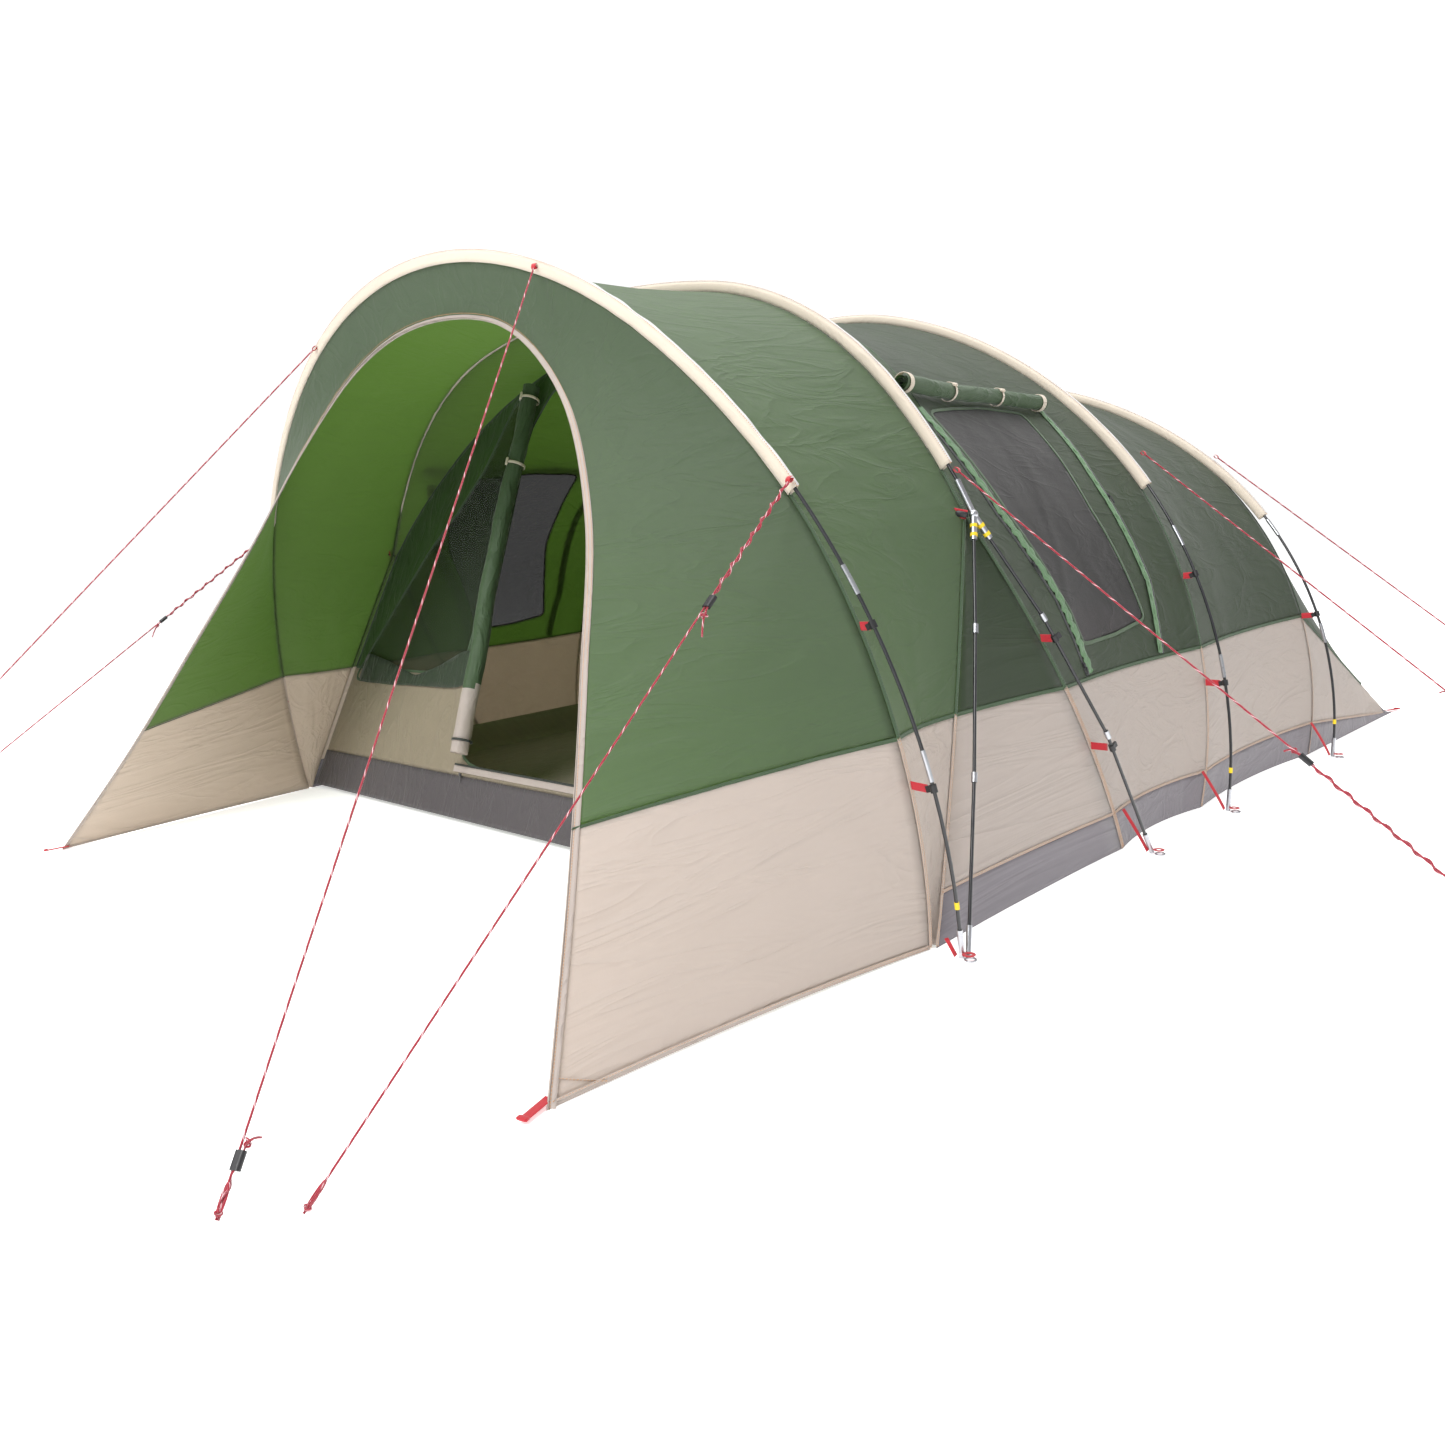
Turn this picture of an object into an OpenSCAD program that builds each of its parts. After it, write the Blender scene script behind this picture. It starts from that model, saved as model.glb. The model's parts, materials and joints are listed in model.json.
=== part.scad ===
// Family tunnel tent on four bent pole hoops, pitched, with a lean-forward porch.
// Millimetres, +Z up, door towards -Y. The origin is on the ground under the middle of the tent.

/* [Overall size] */
// Half the distance between the two feet of a hoop
foot_half_w = 1850; // [1800:10:1900]
// Height of the front hoop
front_h = 2000; // [1960:10:2040]
// Height of the second hoop
second_h = 1940; // [1920:10:1960]
// Height of the third hoop
third_h = 1955; // [1920:5:1980]
// Height of the rear hoop
rear_h = 1680; // [1640:10:1700]

/* [Places along the tent] */
// Y of the front hoop's feet
front_feet_y = -1290; // [-1310:10:-1270]
// Y of the second hoop's arch
second_y = -795; // [-810:5:-780]
// Y of the second hoop's rear feet
second_rear_feet_y = -235; // [-260:5:-210]
// Y of the third hoop's feet
third_feet_y = 350; // [330:10:370]
// Y of the rear hoop's feet
rear_feet_y = 1340; // [1320:10:1360]
// Y of the rear hem on the ground
rear_hem_y = 2400; // [2380:10:2420]

/* [Poles] */
// Diameter of a glass-fibre rod
rod_d = 9.5; // [8.5:0.5:10]
// Outside diameter of a steel ferrule
ferrule_d = 13; // [12.5:0.5:14]
// Length of a ferrule
ferrule_len = 80; // [60:5:100]
// Length of the rod that stands in a foot
foot_rod_len = 500; // [480:10:520]
// Length of each rod above it
rod_len = 485; // [480:5:490]

/* [Cloth] */
// Thickness of the cloth solids
cloth_t = 4; // [3:0.5:5]
// Height of the grey mud flap
mud_h = 130; // [110:10:150]
// Height of the seam between the pale lower cloth and the green upper cloth
skirt_h = 555; // [520:5:580]
// Height of the groundsheet's turned-up sides
tub_h = 150; // [100:10:160]

/* [Guy lines] */
// Diameter of the rope
rope_d = 5; // [4:0.5:5]
// Length of a runner
runner_len = 34; // [28:1:40]

/* [Hidden] */
$fn = 48;

rod_r = rod_d / 2;
// Radial room between a rod and what it stands in
rod_room = 0.1;
// Lean of each leaning hoop's top away from its feet
front_lean = -240;
third_lean = 240;
rear_lean = 250;
// Height and half width of the second hoop's junctions
junction_h = 1075;
junction_x = 1610;
// How far the rear leg of the second hoop bows outwards
leg_bow = 60;
// Pole centre to cloth beside a sleeve, and the extra at the ground
cloth_gap = 22;
cloth_gap_foot = 70;
// Height where a sleeve ends
sleeve_h = 1170;
// Gap left along a seam between two cloth solids
seam = 2;
// Turn left open where two arcs of a hoop meet, in degrees
arc_step = 0.006;
side_colour = "darkseagreen";
pale_colour = "antiquewhite";
strap_colour = "firebrick";

// ---- Hoops: three tangent arcs a side, as [length, foot y, lean angle, arc angles, arc radii] ----

function arc_radii(w, h, a, b, c, r) =
  let (
    m11 = sin(a),
    m12 = sin(c) - sin(b),
    m21 = 1 - cos(a),
    m22 = cos(b) - cos(c),
    u = w - r * (sin(b) - sin(a)),
    v = h - r * (cos(a) - cos(b)),
    d = m11 * m22 - m12 * m21
  ) [(u * m22 - m12 * v) / d, r, (m11 * v - u * m21) / d];

function make_hoop(w, h, foot_y, lean, bends, shoulder_r) =
  let (tall = norm([h, lean]))
  [tall, foot_y, atan2(lean, h), bends,
   arc_radii(w, tall, bends[0], bends[1], bends[2], shoulder_r)];

front_hoop = make_hoop(foot_half_w, front_h, front_feet_y, front_lean, [37, 51, 93], 2140);
second_hoop = make_hoop(foot_half_w, second_h, second_y, 0, [11.5, 49.5, 93], 1250);
third_hoop = make_hoop(foot_half_w, third_h, third_feet_y, third_lean, [16, 49, 93], 2160);
rear_hoop = make_hoop(foot_half_w + 20, rear_h, rear_feet_y, rear_lean, [40, 65.5, 92], 1560);

function turn(a) = [sin(a), cos(a)];

// Centre of arc i in the hoop's plane
function arc_centre(H, i) =
  i == 0 ? [0, H[0] - H[4][0]]
  : arc_centre(H, i - 1) + (H[4][i - 1] - H[4][i]) * turn(H[3][i - 1]);

function arc_at(H, a) = a <= H[3][0] ? 0 : a <= H[3][1] ? 1 : 2;

function to_space(H, p) = [p[0], H[1] + p[1] * sin(H[2]), p[1] * cos(H[2])];

// Point at heading a from the top, moved in by inset
function hoop_point(H, a, inset = 0) =
  let (i = arc_at(H, a))
  to_space(H, arc_centre(H, i) + (H[4][i] - inset) * turn(a));

// Heading at length s from the top
function heading(H, s) =
  let (
    s0 = H[4][0] * H[3][0] * PI / 180,
    s1 = s0 + H[4][1] * (H[3][1] - H[3][0]) * PI / 180
  )
  s <= s0 ? s / H[4][0] * 180 / PI
  : s <= s1 ? H[3][0] + (s - s0) / H[4][1] * 180 / PI
  : H[3][1] + (s - s1) / H[4][2] * 180 / PI;

function hoop_length(H) =
  (H[4][0] * H[3][0] + H[4][1] * (H[3][1] - H[3][0]) + H[4][2] * (H[3][2] - H[3][1])) * PI / 180;

// Heading where the hoop, moved in by inset, is at height z
function heading_at(H, z, inset = 0) =
  let (
    v = z / cos(H[2]),
    at_b = arc_centre(H, 1)[1] + (H[4][1] - inset) * cos(H[3][1]),
    at_a = arc_centre(H, 0)[1] + (H[4][0] - inset) * cos(H[3][0]),
    i = v < at_b ? 2 : v < at_a ? 1 : 0
  ) acos((v - arc_centre(H, i)[1]) / (H[4][i] - inset));

// One arc of a hoop as a round bar or tube, between two headings
module arc_bar(H, i, from, to, r, bore) {
  translate([0, H[1], 0])
    rotate([90 - H[2], 0, 0])
      translate(arc_centre(H, i))
        rotate([0, 0, 90 - to])
          rotate_extrude(angle = to - from, $fn = 240)
            translate([H[4][i], 0])
              difference() {
                circle(r, $fn = 24);
                if (bore > 0) circle(bore, $fn = 24);
              }
}

// A round bar or tube along a hoop from length s0 to s1, on the +X side
module hoop_bar(H, s0, s1, r, bore = 0) {
  a0 = heading(H, s0);
  a1 = heading(H, s1);
  for (i = [0:2]) {
    from = max(a0, i == 0 ? 0 : H[3][i - 1] + arc_step);
    to = min(a1, H[3][i]);
    if (to - from > 10 * arc_step) arc_bar(H, i, from, to, r, bore);
  }
}

// The same across the top of the hoop, as far as length s to either side
module middle_bar(H, s, r, bore = 0) {
  a = min(heading(H, s), H[3][0]);
  arc_bar(H, 0, -a, a, r, bore);
  if (heading(H, s) > H[3][0])
    both_sides() hoop_bar(H, H[4][0] * (H[3][0] + arc_step) * PI / 180, s, r, bore);
}

// Puts its children at heading a: local X points out, local Y runs up the pole
module at_heading(H, a) {
  translate(hoop_point(H, a))
    rotate([90 - H[2], 0, 0])
      rotate([0, 0, 90 - a])
        children();
}

module both_sides() {
  children();
  mirror([1, 0, 0]) children();
}

// Lengths from the top where a hoop's ferrules sit
function ferrule_places(H) =
  let (half = hoop_length(H))
  [for (k = [0:5]) if (half - foot_rod_len - k * rod_len > 100) half - foot_rod_len - k * rod_len];

module hoop_rods(H) {
  ends = ferrule_places(H);
  half = hoop_length(H);
  both_sides() {
    hoop_bar(H, ends[0] + 0.5, half - 8, rod_r);
    for (k = [1:len(ends) - 1])
      hoop_bar(H, ends[k] + 0.5, ends[k - 1] - 0.5, rod_r);
  }
  middle_bar(H, ends[len(ends) - 1] - 0.5, rod_r);
}

module hoop_ferrules(H, lowest = 0) {
  both_sides()
    for (s = ferrule_places(H))
      if (hoop_point(H, heading(H, s))[2] > lowest)
        hoop_bar(H, s - ferrule_len / 2, s + ferrule_len / 2, ferrule_d / 2, rod_r + rod_room);
}

// ---- Second hoop: an arch on two forked legs ----

junction = [junction_x, second_y, junction_h];
// The front leg stands just behind the front hoop's foot
front_foot = [foot_half_w + 8, front_feet_y + 16, 0];
rear_foot = [foot_half_w, second_rear_feet_y, 0];
// Heading and length of the arch at the top of the fork
fork_a = heading_at(second_hoop, junction_h + 45);
second_end = (hoop_length(second_hoop)
  - (second_hoop[3][2] - fork_a) * PI / 180 * second_hoop[4][2]);
function lerp(a, b, t) = a + (b - a) * t;

// Points of the bowed rear leg
leg_out = [1, 0, 0];
function rear_leg_point(t) = lerp(junction, rear_foot, t) + leg_out * leg_bow * 4 * t * (1 - t);
function front_leg_point(t) = lerp(junction, front_foot, t) + leg_out * 12 * 4 * t * (1 - t);

// A straight round bar or tube from a to b
module bar(a, b, r, bore = 0) {
  d = b - a;
  translate(a)
    rotate([0, acos(d[2] / norm(d)), atan2(d[1], d[0])])
      difference() {
        cylinder(h = norm(d), r = r);
        if (bore > 0) translate([0, 0, -1]) cylinder(h = norm(d) + 2, r = bore);
      }
}

// Puts its children at a, with local Z towards b
module aimed(a, b) {
  d = b - a;
  translate(a)
    rotate([0, acos(d[2] / norm(d)), atan2(d[1], d[0])])
      children();
}

// Each leg is three straight rods end to end between these shares of its length
leg_stops = [0, 0.28, 0.62, 1];
function leg_stop(rear, k) = rear ? rear_leg_point(leg_stops[k]) : front_leg_point(leg_stops[k]);
// Shares of the top rod where it starts in the fork, and where the fork's socket ends
rod_start = 0.12;
socket_end = 0.23;

module leg_rods(rear) {
  for (k = [0:2]) {
    a = leg_stop(rear, k);
    b = leg_stop(rear, k + 1);
    bar(lerp(a, b, k == 0 ? rod_start : 0.002), lerp(a, b, k == 2 ? 0.984 : 0.998), rod_r);
  }
}

// ---- Cloth: ribs of points that follow the poles, and skins between two ribs ----

function gap_at(z) = cloth_gap + cloth_gap_foot * max(0, 1 - z / sleeve_h);

rib_z = [0, mud_h, skirt_h, 730, 900, junction_h];
top_steps = 9;

function rib_low_point(H, z) = hoop_point(H, heading_at(H, z, gap_at(z)), gap_at(z));
function rib_top(H) =
  let (a = heading_at(H, junction_h, gap_at(junction_h)))
  [for (k = [1:top_steps]) hoop_point(H, a * (1 - k / top_steps), cloth_gap)];
function hoop_rib(H) = concat([for (z = rib_z) rib_low_point(H, z)], rib_top(H));

function leg_rib_point(z, rear) =
  let (
    t = 1 - z / junction_h,
    p = rear ? rear_leg_point(t) : front_leg_point(t)
  ) [p[0] - gap_at(z), p[1], z];
function fork_rib(rear) =
  concat([for (z = rib_z) leg_rib_point(z, rear)], rib_top(second_hoop));

// The edge of the porch mouth, from a ground corner up to the middle of the top
mouth_edge = [
  [1640, -2413, 0],
  [1441, -2161, 380],
  [1245, -1928, 776],
  [1052, -1717, 1148],
  [805, -1572, 1490],
  [444, -1496, 1742],
  [0, -1495, 1817]
];
function mouth_at(i) =
  i < 0 ? 2 * mouth_edge[0] - mouth_edge[1]
  : i > 6 ? [-mouth_edge[12 - i][0], mouth_edge[12 - i][1], mouth_edge[12 - i][2]]
  : mouth_edge[i];
// Catmull-Rom curve through the mouth's points
function mouth_point(t) =
  let (
    i = min(floor(t), 5),
    u = t - i,
    p = mouth_at(i - 1),
    q = mouth_at(i),
    r = mouth_at(i + 1),
    s = mouth_at(i + 2)
  ) (2 * q + (r - p) * u + (2 * p - 5 * q + 4 * r - s) * u * u + (3 * q - p - 3 * r + s) * u * u * u) / 2;
mouth_low = [0, 0.34, 1.2, 1.7, 2.2, 2.7];
mouth_rib = concat(
  [for (t = mouth_low) mouth_point(t)],
  [for (k = [1:top_steps]) mouth_point(2.7 + 3.3 * k / top_steps)]
);

front_rib = hoop_rib(front_hoop);
second_front_rib = fork_rib(false);
second_rear_rib = fork_rib(true);
third_rib = hoop_rib(third_hoop);
rear_rib = hoop_rib(rear_hoop);
// Half width of the rear hem on the ground
hem_half_w = 1795;
// Share of the half width between one low point of the hem and the next
hem_step = 0.008;
function hem_share(j) = j < 3 ? 1 - hem_step * j : (1 - 2 * hem_step) * rear_rib[j][0] / rear_rib[2][0];
hem_rib = [for (j = [0:len(rear_rib) - 1]) [hem_half_w * hem_share(j), rear_hem_y, 2]];

function flip_x(p) = [-p[0], p[1], p[2]];
function whole(rib) = concat(rib, [for (k = [len(rib) - 2:-1:0]) flip_x(rib[k])]);
function part_of(list, from, to) = [for (k = [from:to]) list[k]];

// Unit vector from p towards the inside of the tent
function inwards(p, core) =
  let (d = core == undef ? [-p[0], 0, min(0, 500 - p[2])] : core - p)
  norm(d) < 1 ? [0, 0, -1] : d / norm(d);

// Rows of points between two ribs, sagging inwards in the middle
function rows_between(A, B, v0, v1, steps, sag, core, deep) =
  [for (i = [0:steps])
    let (v = lerp(v0, v1, i / steps))
    [for (j = [0:len(A) - 1])
      let (p = lerp(A[j], B[j], v))
      p + inwards(p, core) * (sag * 4 * v * (1 - v) + deep)]];

// A closed skin between an outer and an inner grid of points; on(i, j) keeps a cell
module skin(outer, inner, on) {
  n = len(outer);
  m = len(outer[0]);
  k = n * m;
  kept = function (i, j) i >= 0 && j >= 0 && i < n - 1 && j < m - 1 && on(i, j);
  faces = [
    for (i = [0:n - 2]) for (j = [0:m - 2]) if (on(i, j))
      let (a = i * m + j, b = a + 1, c = b + m, d = a + m)
      each concat(
        [[a, b, c], [a, c, d], [a + k, c + k, b + k], [a + k, d + k, c + k]],
        kept(i - 1, j) ? [] : [[b, a, a + k], [b, a + k, b + k]],
        kept(i, j + 1) ? [] : [[c, b, b + k], [c, b + k, c + k]],
        kept(i + 1, j) ? [] : [[d, c, c + k], [d, c + k, d + k]],
        kept(i, j - 1) ? [] : [[a, d, d + k], [a, d + k, a + k]]
      )
  ];
  points = concat([for (row = outer) each row], [for (row = inner) each row]);
  polyhedron(points = points, faces = faces, convexity = 8);
}

all_cells = function (i, j) true;

module cloth(A, B, steps = 2, sag = 0, core = undef, v0 = undef, v1 = undef, on = all_cells) {
  span = norm(A[floor(len(A) / 2)] - B[floor(len(B) / 2)]);
  from = v0 == undef ? seam / max(span, 50) : v0;
  to = v1 == undef ? 1 - seam / max(span, 50) : v1;
  skin(rows_between(A, B, from, to, steps, sag, core, 0),
       rows_between(A, B, from, to, steps, sag, core, cloth_t), on);
}

// The same rib a little above or below a seam
function clear_of_seam(A, k, way) = lerp(A[k], A[k + way], seam / norm(A[k] - A[k + way]));
function upper(rib) =
  let (r = concat([clear_of_seam(rib, 2, 1)], part_of(rib, 3, len(rib) - 1))) whole(r);
function skirt(rib) = [clear_of_seam(rib, 1, 1), clear_of_seam(rib, 2, -1)];
function flap(rib) = [rib[0], clear_of_seam(rib, 1, -1)];

// Cells of a side that hold the window, counted up from the pale cloth on either side
window_rows = [1, 3];
window_low = 1;
window_high = 6;
last_cell = 2 * (3 + top_steps) - 1;
function window_cell(i, j) =
  i >= window_rows[0] && i < window_rows[1]
  && ((j >= window_low && j < window_high)
      || (last_cell - j >= window_low && last_cell - j < window_high));
around_windows = function (i, j) !window_cell(i, j);

// ---- Poles ----

module front_hoop_rods() { color("dimgray") hoop_rods(front_hoop); }
module third_hoop_rods() { color("dimgray") hoop_rods(third_hoop); }
module rear_hoop_rods() { color("dimgray") hoop_rods(rear_hoop); }

module second_hoop_rods() {
  ends = [for (s = ferrule_places(second_hoop)) if (s < second_end - 100) s];
  color("dimgray") {
    both_sides() {
      hoop_bar(second_hoop, ends[0] + 0.5, second_end, rod_r);
      for (k = [1:len(ends) - 1])
        hoop_bar(second_hoop, ends[k] + 0.5, ends[k - 1] - 0.5, rod_r);
    }
    middle_bar(second_hoop, ends[len(ends) - 1] - 0.5, rod_r);
  }
}

module second_hoop_legs() {
  color("dimgray") both_sides() {
    leg_rods(false);
    leg_rods(true);
  }
}

// Short collars where two rods of a leg meet
collar_len = 26;
collar_r = 8;
module leg_collars(rear) {
  for (k = [1:2]) {
    p = leg_stop(rear, k);
    d = leg_stop(rear, k + 1) - leg_stop(rear, k - 1);
    bar(p - d / norm(d) * collar_len / 2, p + d / norm(d) * collar_len / 2, collar_r, rod_r + 1.4);
  }
}

module pole_ferrules() {
  color("silver") {
    hoop_ferrules(front_hoop);
    hoop_ferrules(third_hoop);
    hoop_ferrules(rear_hoop);
    hoop_ferrules(second_hoop, junction_h + 200);
    both_sides() {
      leg_collars(false);
      leg_collars(true);
    }
  }
}

socket_r = 9;
module pole_junctions() {
  top = hoop_point(second_hoop, fork_a);
  color("dimgray")
    both_sides()
      difference() {
        union() {
          bar(junction, hoop_point(second_hoop, heading(second_hoop, second_end - 60)), socket_r);
          for (rear = [false, true])
            bar(junction, lerp(junction, leg_stop(rear, 1), socket_end), socket_r);
          translate(junction) sphere(13);
        }
        bar(top, hoop_point(second_hoop, heading(second_hoop, second_end - 90)), rod_r + 0.4);
        for (rear = [false, true])
          bar(lerp(junction, leg_stop(rear, 1), rod_start - 0.002),
              lerp(junction, leg_stop(rear, 1), 0.5), rod_r + 0.4);
      }
}

// Steel tubes that the bottom rods stand in, with a closed end on the ground
foot_tube_len = 75;
foot_tube_r = 7.5;
// Height of the tube's low end above the ground, and thickness of its closed end
tube_lift = 1.5;
tube_floor = 4;
module foot_tube(a, b) {
  color("silver")
    aimed(a + [0, 0, tube_lift], b)
      difference() {
        cylinder(h = foot_tube_len, r = foot_tube_r);
        translate([0, 0, tube_floor]) cylinder(h = foot_tube_len, r = rod_r + 1.5);
      }
}

function foot_of(H) = to_space(H, [hoop_point(H, H[3][2])[0], 0]);
function above_foot(H) = hoop_point(H, heading(H, hoop_length(H) - 85));
pole_feet = [
  [foot_of(front_hoop), above_foot(front_hoop)],
  [foot_of(third_hoop), above_foot(third_hoop)],
  [foot_of(rear_hoop), above_foot(rear_hoop)],
  [rear_foot, leg_stop(true, 2)]
];

module foot_tubes() {
  both_sides() {
    for (f = pole_feet) foot_tube(f[0], f[1]);
    foot_tube(front_foot, leg_stop(false, 2));
  }
}

// The peg ring of each foot lies on the ground outside it
ring_r = 16;
ring_wire_r = 2.5;
module foot_rings() {
  color("silver")
    both_sides()
      for (f = pole_feet)
        translate([f[0][0] + 11 + ring_r, f[0][1] - 4, ring_wire_r])
          rotate_extrude() translate([ring_r - ring_wire_r, 0]) circle(ring_wire_r);
}

// Webbing from the mud flap down to each foot
module foot_straps() {
  color(strap_colour)
    both_sides()
      for (f = pole_feet)
        hull() {
          translate([f[0][0] - 66, f[0][1] - 92, 95]) cube([2, 24, 3]);
          translate([f[0][0] - 14, f[0][1] - 62, 3]) cube([2, 24, 3]);
        }
}

// Headings and lengths of the black clips that hang the cloth from the poles
clip_places = [
  [front_hoop, 2186], [front_hoop, 2607],
  [third_hoop, 2159], [third_hoop, 2552],
  [rear_hoop, 2235]
];
// Shares of the rear leg's lengths where its clips hold
leg_clip_t = [0.34, 0.66];
function leg_clip_point(t) =
  let (k = t < 0.62 ? 1 : 2)
  lerp(leg_stop(true, k), leg_stop(true, k + 1), (t - leg_stops[k]) / (leg_stops[k + 1] - leg_stops[k]));
clip_r = 9;

module clip() {
  difference() {
    union() {
      cylinder(h = 20, r = clip_r, center = true);
      translate([-14, 0, 0]) cube([14, 7, 16], center = true);
    }
    cylinder(h = 30, r = rod_r + 0.35, center = true);
  }
}

module pole_clips() {
  color("black")
    both_sides() {
      for (c = clip_places) at_heading(c[0], heading(c[0], c[1])) rotate([90, 0, 0]) clip();
      for (t = leg_clip_t) aimed(leg_clip_point(t), leg_stop(true, t < 0.5 ? 1 : 2)) clip();
    }
}

// Webbing tabs between the clips and the cloth
module clip_tabs() {
  color(strap_colour)
    both_sides() {
      for (c = clip_places)
        at_heading(c[0], heading(c[0], c[1]))
          translate([-24, 0, 16]) cube([3, 22, 38], center = true);
      for (t = leg_clip_t)
        translate(leg_clip_point(t) + [-16, -28, 0]) cube([3, 28, 22], center = true);
    }
}

// Coloured bands that say which pole goes where
module pole_bands() {
  color("gold")
    both_sides() {
      for (H = [front_hoop, third_hoop, rear_hoop])
        hoop_bar(H, hoop_length(H) - 150, hoop_length(H) - 132, 6.2, rod_r + rod_room);
      for (rear = [false, true])
        for (t = [0.09, 0.17])
          bar(lerp(junction, leg_stop(rear, 1), t), lerp(junction, leg_stop(rear, 1), t + 0.03),
              socket_r + 1, socket_r + 0.1);
    }
}

// ---- Cloth panels ----

// Point that the leaning front cloth faces away from
wing_core = [0, -600, 900];
module wing_canopy() {
  color(side_colour) cloth(upper(mouth_rib), upper(front_rib), 2, 15, wing_core, undef, 0.972);
}

module wing_skirts() {
  wing_low = function (rib) [rib[0], clear_of_seam(rib, 2, -1)];
  color(pale_colour)
    both_sides() cloth(wing_low(mouth_rib), wing_low(front_rib), 2, 5, wing_core, 0.002, 0.996);
}

module porch_canopy() {
  color(side_colour) cloth(upper(front_rib), upper(second_front_rib), 2, 20);
}

module side_gussets() {
  below = function (rib) [clear_of_seam(rib, 2, 1), rib[3], lerp(rib[4], rib[5], 0.5)];
  color(side_colour)
    both_sides()
      cloth(below(second_front_rib), below(second_rear_rib), 2, 10, undef, 0.02, 0.98);
}

module window_canopy() {
  color(side_colour)
    cloth(upper(second_rear_rib), upper(third_rib), 4, 35, undef, undef, undef, around_windows);
}

// Clear panes that fill the openings left in the window cloth
module window_panels() {
  A = part_of(upper(second_rear_rib), window_low, window_high);
  B = part_of(upper(third_rib), window_low, window_high);
  inset = function (rib) concat([clear_of_seam(rib, 0, 1)], part_of(rib, 1, len(rib) - 2),
                                [clear_of_seam(rib, len(rib) - 1, -1)]);
  color("dimgray")
    both_sides()
      cloth(inset(A), inset(B), 2, 35, undef, 0.253, 0.747);
}

// Storm flaps of the windows, rolled up above them
roll_r = 32;
module window_flap_rolls() {
  from = lerp(second_rear_rib[8], second_rear_rib[9], 0.3);
  to = lerp(third_rib[8], third_rib[9], 0.3);
  out = [0.72, 0, 0.69] * (roll_r + 8);
  color("seagreen")
    both_sides()
      bar(lerp(from, to, 0.12) + out, lerp(from, to, 0.88) + out, roll_r);
}

module roll_ties() {
  from = lerp(second_rear_rib[8], second_rear_rib[9], 0.3) + [0.72, 0, 0.69] * (roll_r + 8);
  to = lerp(third_rib[8], third_rib[9], 0.3) + [0.72, 0, 0.69] * (roll_r + 8);
  color(pale_colour) {
    both_sides()
      for (t = [0.3, 0.7])
        bar(lerp(from, to, t), lerp(from, to, t + 0.02), roll_r + 3.5, roll_r + 0.5);
    for (t = [0.12, 0.62])
      bar(lerp(door_roll_low, door_roll_high, t), lerp(door_roll_low, door_roll_high, t + 0.02),
          door_roll_r + 4, door_roll_r + 0.5);
  }
}

module rear_canopy() {
  color(side_colour) cloth(upper(third_rib), upper(rear_rib), 4, 35);
}

// Point that the end cloth faces away from
end_core = [0, 600, 300];
// Shares of the end's slope where the pale cloth starts and stops
end_pale_from = 0.68;
end_pale_to = 0.92;
module end_canopy() {
  color(side_colour)
    cloth(upper(rear_rib), upper(lerp(rear_rib, hem_rib, end_pale_from)), 2, 0, end_core, 0.004, 1);
}

// The pale cloth below the green, all round behind the front hoop
module lower_skirts() {
  color(pale_colour) {
    both_sides() {
      cloth(skirt(front_rib), skirt(second_front_rib), 1, 0, undef, 0.03, 0.97);
      cloth(skirt(second_front_rib), skirt(second_rear_rib), 2, 5, undef, 0.01, 0.99);
      cloth(skirt(second_rear_rib), skirt(third_rib), 2, 10, undef, 0.01, 0.99);
      cloth(skirt(third_rib), skirt(rear_rib), 2, 10, undef, 0.01, 0.99);
      cloth(skirt(rear_rib), skirt(lerp(rear_rib, hem_rib, end_pale_to)), 2, 0, undef, 0.01, 1);
    }
  }
}

module end_skirt() {
  color(pale_colour)
    cloth(upper(lerp(rear_rib, hem_rib, end_pale_from + 0.004)),
          upper(lerp(rear_rib, hem_rib, end_pale_to)), 1, 0, end_core, 0, 1);
}

// The grey band on the ground
module mud_flaps() {
  color("gray") {
    both_sides() {
      cloth(flap(second_front_rib), flap(second_rear_rib), 1, 0, undef, 0.004, 0.996);
      cloth(flap(second_rear_rib), flap(third_rib), 1, 0, undef, 0.004, 0.996);
      cloth(flap(third_rib), flap(rear_rib), 1, 0, undef, 0.004, 0.996);
      cloth(flap(rear_rib), flap(lerp(rear_rib, hem_rib, end_pale_to)), 1, 0, undef, 0.004, 1);
    }
    low = lerp(rear_rib, hem_rib, end_pale_to + 0.004);
    cloth(whole(low), whole(hem_rib),
          1, 0, end_core, 0, 1);
  }
}

// Tub floor of the sleeping space
floor_half_w = 1720;
floor_front_y = -1180;
floor_back_y = 2090;
module groundsheet() {
  color("dimgray")
    difference() {
      translate([-floor_half_w, floor_front_y, 0])
        cube([2 * floor_half_w, floor_back_y - floor_front_y, tub_h]);
      translate([-floor_half_w + 3, floor_front_y - 1, 3])
        cube([2 * floor_half_w - 6, floor_back_y - floor_front_y - 2, tub_h]);
    }
}

// ---- Sleeves ----

sleeve_outer_r = 16;
sleeve_bore_r = 9;
module sleeve(H, half_len) {
  color("linen") middle_bar(H, half_len, sleeve_outer_r, sleeve_bore_r);
}
module front_sleeve() { sleeve(front_hoop, 1800); }
module second_sleeve() { sleeve(second_hoop, 1790); }
module third_sleeve() { sleeve(third_hoop, 1790); }
module rear_sleeve() { sleeve(rear_hoop, 1770); }

// ---- Door wall, under the second hoop and its front legs ----

door_left = -600;
door_right = 650;
door_top = 1700;
sill_h = 200;
// Rise of the wall's slope: it leans back from the front legs' feet to behind the second hoop
wall_slope = 0.4456;
wall_foot_y = -1262;
// X of the wall's upright edges; -1 and 1 are its two sides
wall_columns = [-1, -1450, -740, door_left, door_right, 1];
// Most that each of those edges may be, as a share of the half width
wall_shares = [1, 0.93, 0.8, 0.66, 0.66, 1];
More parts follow.
